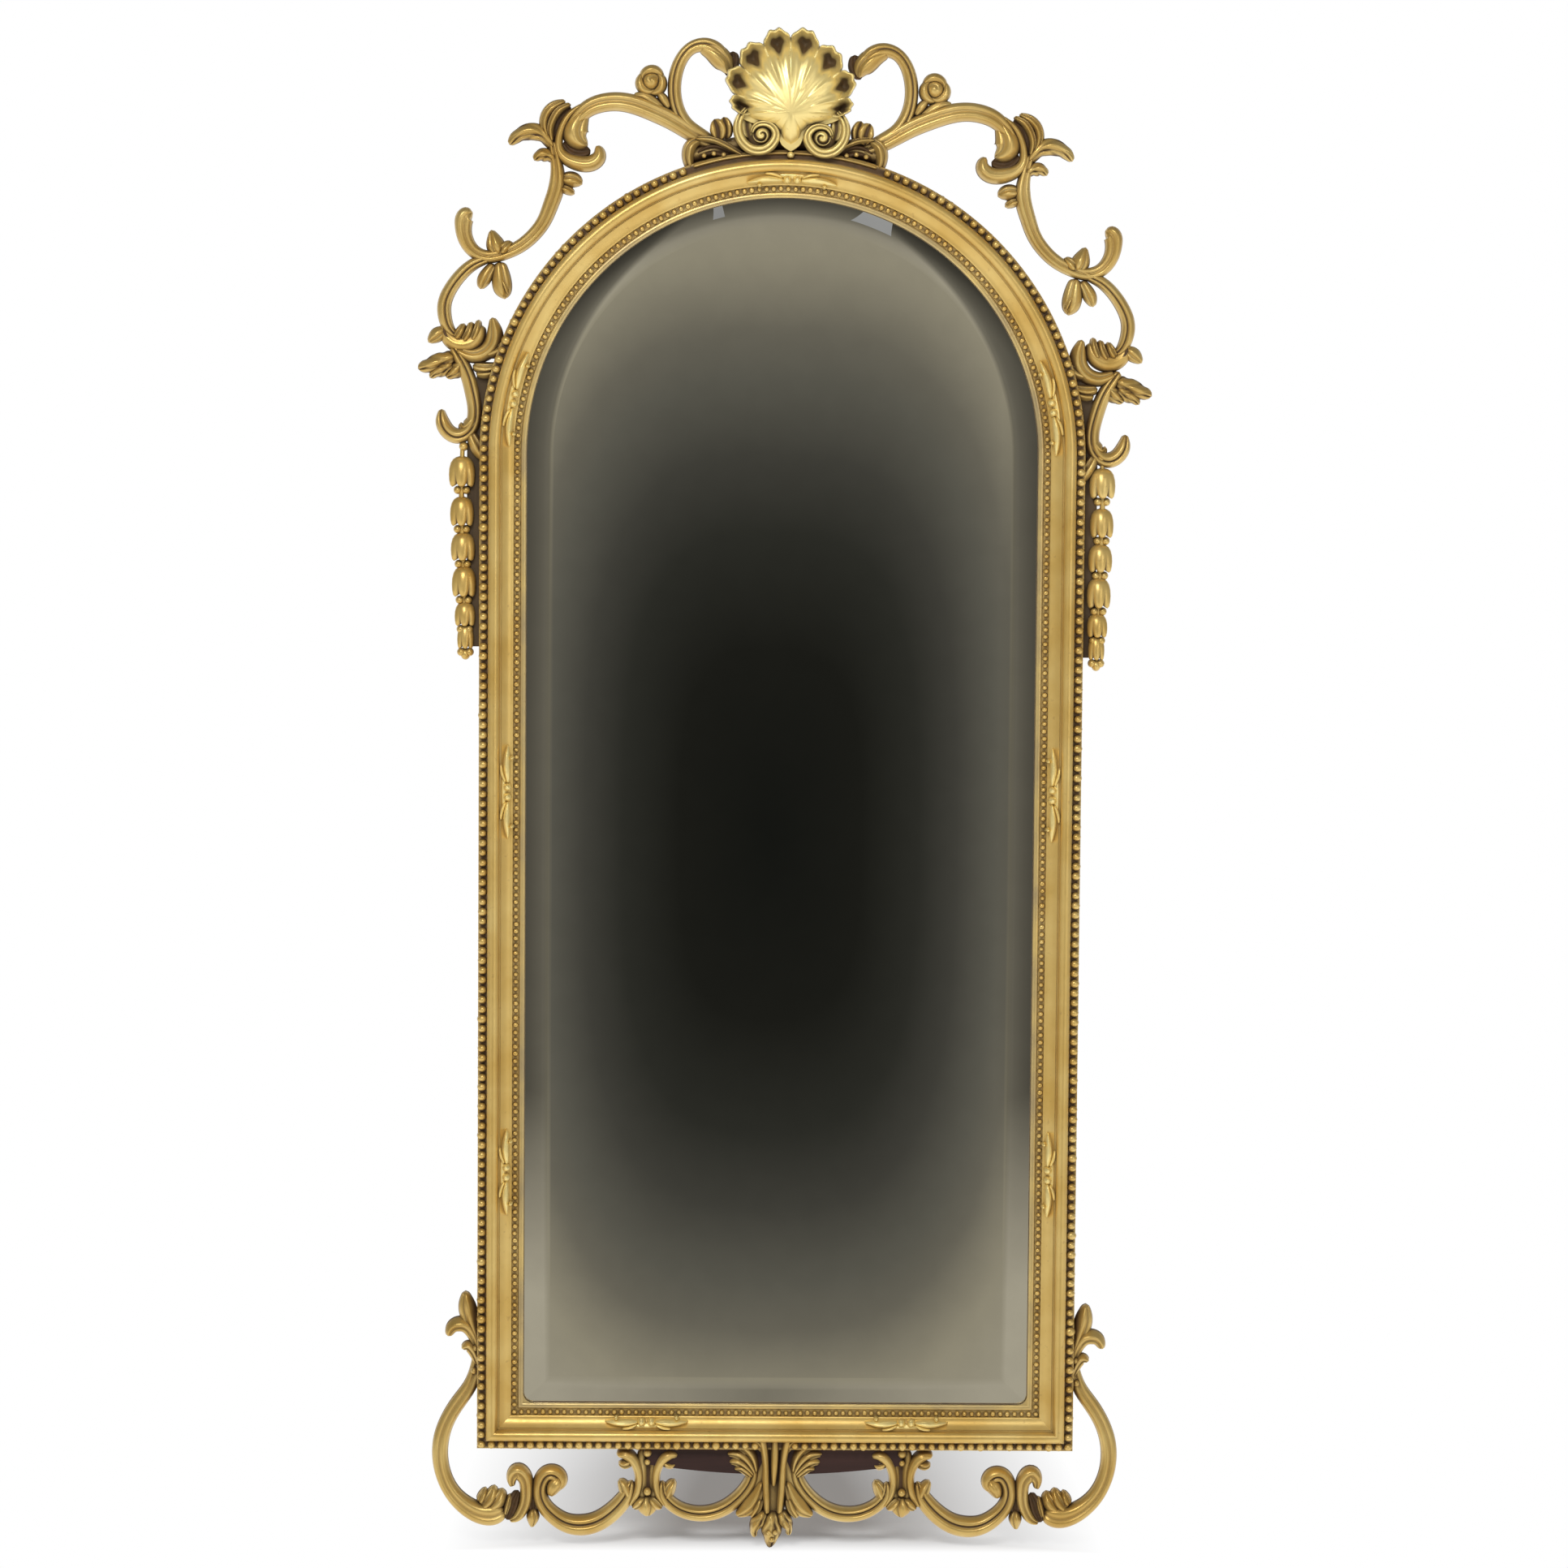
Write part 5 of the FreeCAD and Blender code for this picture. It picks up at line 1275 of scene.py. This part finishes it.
class GILT_OT_apron(bpy.types.Operator):
    """Build the apron: C scrolls, clasps and the middle drop."""

    bl_idname = "gilt_mirror.apron"
    bl_label = "Apron"

    def execute(self, context):
        gold = finish("gold_leaf")
        clasps = Carving()
        for right, name in SIDES:
            self.outer(Carving(right)).piece("apron_outer_scroll_" + name, gold)
            self.inner(Carving(right)).piece("apron_inner_scroll_" + name, gold)
            self.clasp(clasps.on(right))
        clasps.piece("apron_clasps", gold)
        self.drop(Carving()).piece("apron_drop", gold)
        return {"FINISHED"}

    def outer(self, carving):
        """Outer C: a fat hook, a bellied bow and a forked end at the clasp."""
        bow = ((-206, -968, 5), (-200.5, -961, 13), (-203.5, -953.5, 16), (-212, -952, 15.5),
               (-218.5, -959.5, 15), (-220, -970.5, 14.5), (-216, -982, 15), (-207, -992, 16.5),
               (-194.5, -999.5, 18.5), (-181, -1001.5, 20), (-167, -998.5, 19.5), (-154, -990.5, 18.5),
               (-143.5, -980, 17), (-136.5, -969, 13.5), (-133.5, -959, 6))
        carving.cut(reed_section, 15, SCROLL_BACK, bow)
        bulb = ((-210, -974, 7), (-207, -965.5, 15), (-203, -959, 14), (-200, -954, 6))
        carving.cut(bud_section, 15, SCROLL_BACK, bulb)
        end = ((-137, -976, 10), (-140, -966, 13), (-145, -957.5, 6))
        carving.cut(leaf_section, 14, SCROLL_BACK, end)
        return carving

    def inner(self, carving):
        """Inner C, whose upper end opens into a ribbed leaf."""
        bow = ((-105, -959, 6), (-104.5, -969, 11), (-95, -981.5, 13.5), (-80, -988.5, 14.5),
               (-64, -989.5, 15), (-48.5, -985, 15), (-34.5, -975, 14.5), (-24, -962, 14),
               (-20, -950, 12), (-21.5, -941, 7))
        carving.cut(reed_section, 15, LEAF_BACK, bow)
        end = ((-102, -976, 10), (-98.5, -966, 13), (-93.5, -957.5, 6))
        carving.cut(leaf_section, 14, LEAF_BACK, end)
        bed = ((-19, -952, 10), (-26, -939, 22), (-35, -931, 22), (-42, -929, 8))
        carving.cut(bud_section, 9, LEAF_BACK, bed)
        ribs = (((-17.5, -950, 8), (-20.5, -937, 13), (-29, -926, 14), (-40.5, -922, 7)),
                ((-18, -952, 8), (-25.5, -939.5, 12.5), (-35, -932, 12.5), (-45, -932, 6)),
                ((-19, -953, 7), (-28, -943.5, 11.5), (-36, -939, 11), (-43, -940, 5.5)),
                ((-20.5, -954, 7), (-27, -948, 9.5), (-33, -945, 8.5), (-38, -947, 4)))
        carving.cut(leaf_section, 16, LEAF_BACK + 1.0, *ribs)
        return carving

    def clasp(self, carving):
        """Leaf clasp between two C scrolls: a dark slot with beads, over a drop leaf."""
        middle = -119

        def about(sign, rows):
            return [(middle + sign * out, z, width) for out, z, width in rows]

        slot = ((0, -926, 16), (0, -940, 20), (0, -958, 15), (0, -974, 18), (0, -980, 8))
        carving.cut(cup_section, 9, LOOP_BACK, about(1, slot))
        for z, size in ((-931, 4.4), (-940, 3.2), (-968, 4.2)):
            carving.add(berry(middle, z, size, LOOP_BACK + 7))
        stem = ((29, -934, 6), (21, -933, 11.5), (13, -939.5, 11), (8.5, -950, 9), (8, -961, 8.5),
                (11, -972, 8.5), (17, -982, 5))
        tip = ((14, -939, 7), (22, -943, 10), (27, -941, 5))
        for sign in (-1, 1):
            carving.cut(bud_section, 15, LOOP_BACK, about(sign, stem))
            carving.cut(leaf_section, 13, LOOP_BACK, about(sign, tip))
        tongue = ((0, -972, 8), (0, -982, 20), (0, -988, 16), (0, -993, 6))
        ear = ((2, -974, 7), (9, -981, 12), (14, -985, 5))
        carving.cut(leaf_section, 14, LOOP_BACK, about(1, tongue), about(1, ear), about(-1, ear))

    def drop(self, carving):
        """Middle drop: three ribs with flared tops, a waist, side leaves and a lobed tip."""
        back = 18.0
        body = ((0, -913, 30), (0, -923, 27), (0, -937, 23), (0, -954, 22), (-1, -968, 23),
                (-2, -983, 23), (-2.5, -991, 17))
        carving.cut(bud_section, 8, back - 4, body)
        ribs = (((0, -914, 8), (0, -930, 8.5), (-0.5, -945, 8), (-1, -961, 4.5)),
                ((-12, -914, 10), (-9, -931, 8), (-8, -946, 7.5), (-8, -960, 7.5), (-7.5, -974, 7.5),
                 (-7, -987, 6)),
                ((12, -914, 10), (8.5, -931, 8), (7, -946, 7.5), (6.5, -960, 7.5), (5.5, -974, 7.5),
                 (4.5, -987, 6)))
        carving.cut(bud_section, 15, back, *ribs)
        tips = (((-9, -984, 10), (-15.5, -995, 14), (-19, -1003.5, 9), (-18, -1010, 4)),
                ((5.5, -984, 10), (10.5, -995, 13), (13.5, -1002.5, 8), (12.5, -1008, 4)),
                ((-2, -985, 13), (-2.5, -997, 19), (-3, -1009, 17), (-4, -1016, 9), (-4.5, -1020, 3)))
        carving.cut(leaf_section, 15, back, *tips, lobes=2, notch=0.12)
        for x, z in ((-5, -1003), (0.5, -1003), (-2.5, -1010)):
            carving.add(berry(x, z, 2.6, back + 12))
        web = ((-9, -936, 8), (-12.5, -953, 14), (-18, -968, 15), (-25, -979, 7))
        for right in (False, True):
            carving.on(right)
            side_leaves = (((-11, -957, 8), (-16, -970.5, 14.5), (-24.5, -982.5, 16.5), (-36, -989.5, 5)),
                           ((-12.5, -972, 8), (-17, -984, 11), (-22, -991.5, 5)),
                           ((-9.5, -930, 6), (-17.5, -919, 11), (-25.5, -918, 5)))
            carving.cut(leaf_section, 14, back - 2, *side_leaves)
            carving.cut(bud_section, 7, back - 5, web)
        return carving


class GILT_OT_backs(bpy.types.Operator):
    """Finish the CAD pieces that stay in view: boards, slips, joinery, hangers and pads."""

    bl_idname = "gilt_mirror.backs"
    bl_label = "Back and hangers"

    def execute(self, context):
        slots = {"bare_wood": "bare_wood", "dark_wood": "stained_wood",
                 "steel": "dull_steel", "felt": "pressed_felt"}
        own = {"side_slips": "toned_wood"}
        for part in frame["record"]["subparts"]:
            name = own.get(part["node"], slots.get(part["material_slot"]))
            if name:
                mesh = frame["nodes"][part["node"]].data
                mesh.materials.clear()
                mesh.materials.append(finish(name))
        return {"FINISHED"}


def camera_axes(stage):
    """Rows of the camera's right, down and forward axes in the mirror's right, down and forward axes."""
    turns = []
    for angle, axis in ((stage.camera_roll, "Z"), (stage.camera_pitch, "X"), (stage.camera_yaw, "Y")):
        turns.append(Matrix.Rotation(angle, 3, axis))
    return turns[0] @ turns[1] @ turns[2]


def card(name, size, place, lean, strength, tones=None):
    """Card that only the mirror and the gilding see; tones grade it outwards, sideways and upwards."""
    bpy.ops.mesh.primitive_plane_add(size=2.0, location=place, rotation=(math.pi / 2, lean, 0))
    board = bpy.context.object
    board.name = name
    board.scale = (size[0] / 2, size[1] / 2, 1.0)
    material = bpy.data.materials.new(name)
    material.use_nodes = True
    nodes, links = material.node_tree.nodes, material.node_tree.links
    nodes.remove(nodes["Principled BSDF"])
    glow = nodes.new("ShaderNodeEmission")
    glow.inputs["Strength"].default_value = strength
    links.new(glow.outputs["Emission"], nodes["Material Output"].inputs["Surface"])
    if tones:
        links.new(graded(nodes, links, *tones), glow.inputs["Color"])
    board.data.materials.append(material)
    for ray in ("camera", "diffuse", "transmission", "shadow"):
        setattr(board, "visible_" + ray, False)
    board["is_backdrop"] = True
    return board


def graded(nodes, links, shades, sides, overhead):
    """Tones of the large card: shades from the middle outwards, darker at the upper sides, the foot and
    overhead."""
    split = nodes.new("ShaderNodeSeparateXYZ")
    links.new(nodes.new("ShaderNodeTexCoord").outputs["Object"], split.inputs["Vector"])
    outwards = math_node(nodes, links, "ABSOLUTE", split.outputs["X"], 0.0)
    half = math_node(nodes, links, "MULTIPLY", split.outputs["Y"], 0.5, clamp=False)
    level = math_node(nodes, links, "ADD", half, 0.5)
    upwards = math_node(nodes, links, "ABSOLUTE", split.outputs["Y"], 0.0)
    rise = math_node(nodes, links, "MULTIPLY", upwards, 1.06)
    cubes = [math_node(nodes, links, "POWER", reach, 3.0) for reach in (outwards, rise)]
    spread = math_node(nodes, links, "POWER", math_node(nodes, links, "ADD", *cubes), 1 / 3)
    upper = ramp(nodes, links, level, [(0.375, grey(0.0)), (0.43, grey(1.0))])
    lower = ramp(nodes, links, level, [(0.29, grey(1.0)), (0.352, grey(0.0))])
    flanks = mixed(nodes, links, upper, grey(1.0), ramp(nodes, links, outwards, sides))
    low_middle = ramp(nodes, links, outwards, [(0.0, grey(0.5)), (0.26, grey(0.95))])
    foot = mixed(nodes, links, lower, grey(1.0), low_middle)
    tone = ramp(nodes, links, spread, shades)
    for shading in (flanks, foot, ramp(nodes, links, level, overhead)):
        tone = mixed(nodes, links, 1.0, tone, shading, "MULTIPLY")
    return tone


def lamp(name, place, target, size, power):
    """Soft lamp aimed at a point."""
    light = bpy.data.lights.new(name, "AREA")
    light.shape = "RECTANGLE"
    light.size, light.size_y = size
    light.energy = power
    obj = bpy.data.objects.new(name, light)
    bpy.context.scene.collection.objects.link(obj)
    obj.location = place
    obj.rotation_euler = (Vector(target) - Vector(place)).to_track_quat("-Z", "Y").to_euler()


class GILT_OT_stage(bpy.types.Operator):
    """Set the floor, the light, the room that the plate shows and the camera."""

    bl_idname = "gilt_mirror.stage"
    bl_label = "Stage"

    def execute(self, context):
        stage = context.scene.gilt_mirror_stage
        self.camera(context, stage)
        self.floor()
        self.light(context, stage)
        context.scene.view_settings.view_transform = "Standard"
        return {"FINISHED"}

    def camera(self, context, stage):
        """Camera at the photograph's view."""
        axes = camera_axes(stage)
        eye = -(axes.transposed() @ Vector(stage.arch_in_view))
        data = bpy.data.cameras.new("photo_camera")
        data.sensor_width = SENSOR
        data.sensor_fit = "HORIZONTAL"
        data.lens = stage.focal_pixels * SENSOR / IMAGE_SIZE
        data.clip_end = 100.0
        camera = bpy.data.objects.new("photo_camera", data)
        context.scene.collection.objects.link(camera)

        def in_frame(axis):
            return Vector((axis[0], axis[2], -axis[1]))

        right, up, back = in_frame(axes[0]), -in_frame(axes[1]), -in_frame(axes[2])
        turn = Matrix((right, up, back)).transposed().to_4x4()
        camera.matrix_world = Matrix.Translation(in_frame(eye) + Vector((0, GLASS_LOW.y, 0))) @ turn
        context.scene.camera = camera

    def floor(self):
        """Pale floor that keeps the shadow near the mirror; away from it a white glow, painted light mixed
        in by distance, brightens it to white.
        """
        bpy.ops.mesh.primitive_plane_add(size=8.0, location=(0, 0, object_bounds()[0][2] - 0.0005))
        floor = bpy.context.object
        floor.name = "pale_floor"
        material, nodes, links, shader = node_tree("pale_floor")
        shader.inputs["Base Color"].default_value = (0.97, 0.97, 0.97, 1.0)
        shader.inputs["Roughness"].default_value = 0.9
        shader.inputs["Specular IOR Level"].default_value = 0.0
        place = nodes.new("ShaderNodeTexCoord").outputs["Object"]
        split = nodes.new("ShaderNodeSeparateXYZ")
        links.new(place, split.inputs["Vector"])
        stretch = nodes.new("ShaderNodeMapping")
        stretch.inputs["Scale"].default_value = (2.6, 0.5, 1.0)
        links.new(place, stretch.inputs["Vector"])
        reach = nodes.new("ShaderNodeVectorMath")
        reach.operation = "LENGTH"
        links.new(stretch.outputs["Vector"], reach.inputs[0])
        front = math_node(nodes, links, "MULTIPLY", split.outputs["Y"], -9.0, clamp=False)
        forward = math_node(nodes, links, "ADD", front, 0.50)
        near = math_node(nodes, links, "MAXIMUM", reach.outputs["Value"], forward)
        # White glow of the floor: painted light, mixed in more with distance from the mirror and in front of
        # it.
        white = nodes.new("ShaderNodeEmission")
        white.inputs["Strength"].default_value = 1.0
        mix = nodes.new("ShaderNodeMixShader")
        links.new(ramp(nodes, links, near, [(0.22, grey(0.10)), (0.80, grey(1.0))]), mix.inputs["Fac"])
        links.new(shader.outputs["BSDF"], mix.inputs[1])
        links.new(white.outputs["Emission"], mix.inputs[2])
        links.new(mix.outputs["Shader"], nodes["Material Output"].inputs["Surface"])
        floor.data.materials.append(material)
        floor.visible_glossy = False
        floor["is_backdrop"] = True

    def light(self, context, stage):
        """White background, even light, soft lamps and the studio that the plate and the gilding show."""
        world = bpy.data.worlds.new("studio")
        context.scene.world = world
        world.use_nodes = True
        nodes, links = world.node_tree.nodes, world.node_tree.links
        seen = nodes.new("ShaderNodeLightPath")
        room = nodes["Background"]
        room.inputs["Strength"].default_value = stage.room_light
        place = nodes.new("ShaderNodeTexCoord")
        split = nodes.new("ShaderNodeSeparateXYZ")
        links.new(place.outputs["Generated"], split.inputs["Vector"])
        half = math_node(nodes, links, "MULTIPLY", split.outputs["Z"], 0.5, clamp=False)
        level = math_node(nodes, links, "ADD", half, 0.5)
        tones = [(0.0, grey(2.0)), (0.38, grey(1.5)), (0.50, grey(0.55)), (0.60, grey(0.30)),
                 (1.0, grey(0.26))]
        links.new(ramp(nodes, links, level, tones), room.inputs["Color"])
        white = nodes.new("ShaderNodeBackground")
        white.inputs["Color"].default_value = (1.0, 1.0, 1.0, 1.0)
        white.inputs["Strength"].default_value = 1.0
        mix = nodes.new("ShaderNodeMixShader")
        glossy, through = seen.outputs["Is Glossy Ray"], seen.outputs["Is Transmission Ray"]
        clear = math_node(nodes, links, "MAXIMUM", glossy, through)
        rays = math_node(nodes, links, "MAXIMUM", seen.outputs["Is Camera Ray"], clear)
        links.new(rays, mix.inputs["Fac"])
        links.new(room.outputs["Background"], mix.inputs[1])
        links.new(white.outputs["Background"], mix.inputs[2])
        links.new(mix.outputs["Shader"], nodes["World Output"].inputs["Surface"])
        middle = (0.0, 0.0, -0.3)
        lamp("key_light", (-0.8, -3.3, 2.1), middle, (1.3, 1.1), stage.key_power)
        lamp("fill_light", (2.0, -2.9, 0.4), middle, (0.9, 1.8), stage.fill_power)
        self.studio()

    def studio(self):
        """Dim walls and ceiling for the gilding, and before the plate a studio that is black in the middle,
        beige about it, shaded at both sides and overhead, with two openings."""
        shades = [(0.42, (0.42, 0.385, 0.30)), (0.327, (0.312, 0.284, 0.21)),
                  (0.284, (0.153, 0.142, 0.112)), (0.257, (0.112, 0.107, 0.087)),
                  (0.214, (0.057, 0.055, 0.046)), (0.17, (0.028, 0.028, 0.023)),
                  (0.105, (0.013, 0.013, 0.0105)), (0.0, (0.0085, 0.009, 0.0075))]
        sides = [(0.262, grey(1.0)), (0.30, grey(0.66)), (0.33, grey(0.45)), (0.40, grey(0.34)),
                 (0.46, grey(0.30)), (0.63, grey(0.24)), (0.81, grey(0.19)), (1.0, grey(0.16))]
        overhead = [(0.66, grey(1.0)), (0.70, grey(0.66)), (0.718, grey(0.45)), (0.74, grey(0.34)),
                    (0.762, grey(0.24)), (0.785, grey(0.165))]
        upright, span, level = math.pi / 2, 22.0, 1.65
        for name, x, y, turn in (("end_wall", 0, -span / 2, 0), ("left_wall", -span / 2, 0, upright),
                                 ("right_wall", span / 2, 0, upright)):
            card(name, (span, 8.7), (x, y, level), 0.0, 0.27).rotation_euler = (upright, 0, turn)
        card("ceiling", (span, span), (0, 0, 6.0), 0.0, 0.17).rotation_euler = (0, 0, 0)
        card("dim_studio", (5.0, 10.8), (0.10, -9.5, -1.25), 0.0, 1.0, (shades, sides, overhead))
        card("bright_opening", (0.24, 1.0), (0.80, -9.4, 1.56), math.radians(23), 0.34)
        card("small_opening", (0.07, 0.7), (-0.33, -9.4, 1.52), math.radians(-14), 0.30)


class GILT_PT_mirror(bpy.types.Panel):
    """Sizes, finishes and building steps of the gilt mirror."""

    bl_label = "Gilt Mirror"
    bl_idname = "GILT_PT_mirror"
    bl_space_type = "VIEW_3D"
    bl_region_type = "UI"
    bl_category = "Gilt Mirror"

    def draw(self, context):
        for group in (context.scene.gilt_mirror_sizes, context.scene.gilt_mirror_finishes,
                      context.scene.gilt_mirror_stage):
            box = self.layout.box()
            for name in group.__annotations__:
                box.prop(group, name)
        for operator in OPERATORS:
            self.layout.operator(operator.bl_idname)


OPERATORS = (GILT_OT_moulding, GILT_OT_pearls, GILT_OT_sprays, GILT_OT_plate, GILT_OT_shell, GILT_OT_wings,
             GILT_OT_shoulders, GILT_OT_brackets, GILT_OT_husks, GILT_OT_feet, GILT_OT_apron, GILT_OT_backs,
             GILT_OT_stage)
GROUPS = {"gilt_mirror_sizes": MirrorSizes, "gilt_mirror_finishes": MirrorFinishes,
          "gilt_mirror_stage": MirrorStage}


def register():
    """Register the settings, the operators and the panel."""
    for name, group in GROUPS.items():
        bpy.utils.register_class(group)
        setattr(bpy.types.Scene, name, PointerProperty(type=group))
    for part in (*OPERATORS, GILT_PT_mirror):
        bpy.utils.register_class(part)


def unregister():
    """Take the panel, the operators and the settings out again."""
    for part in reversed((*OPERATORS, GILT_PT_mirror)):
        bpy.utils.unregister_class(part)
    for name, group in GROUPS.items():
        delattr(bpy.types.Scene, name)
        bpy.utils.unregister_class(group)


def main():
    """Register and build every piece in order."""
    register()
    for operator in OPERATORS:
        group, name = operator.bl_idname.split(".")
        getattr(getattr(bpy.ops, group), name)()


if __name__ == "__main__":
    main()
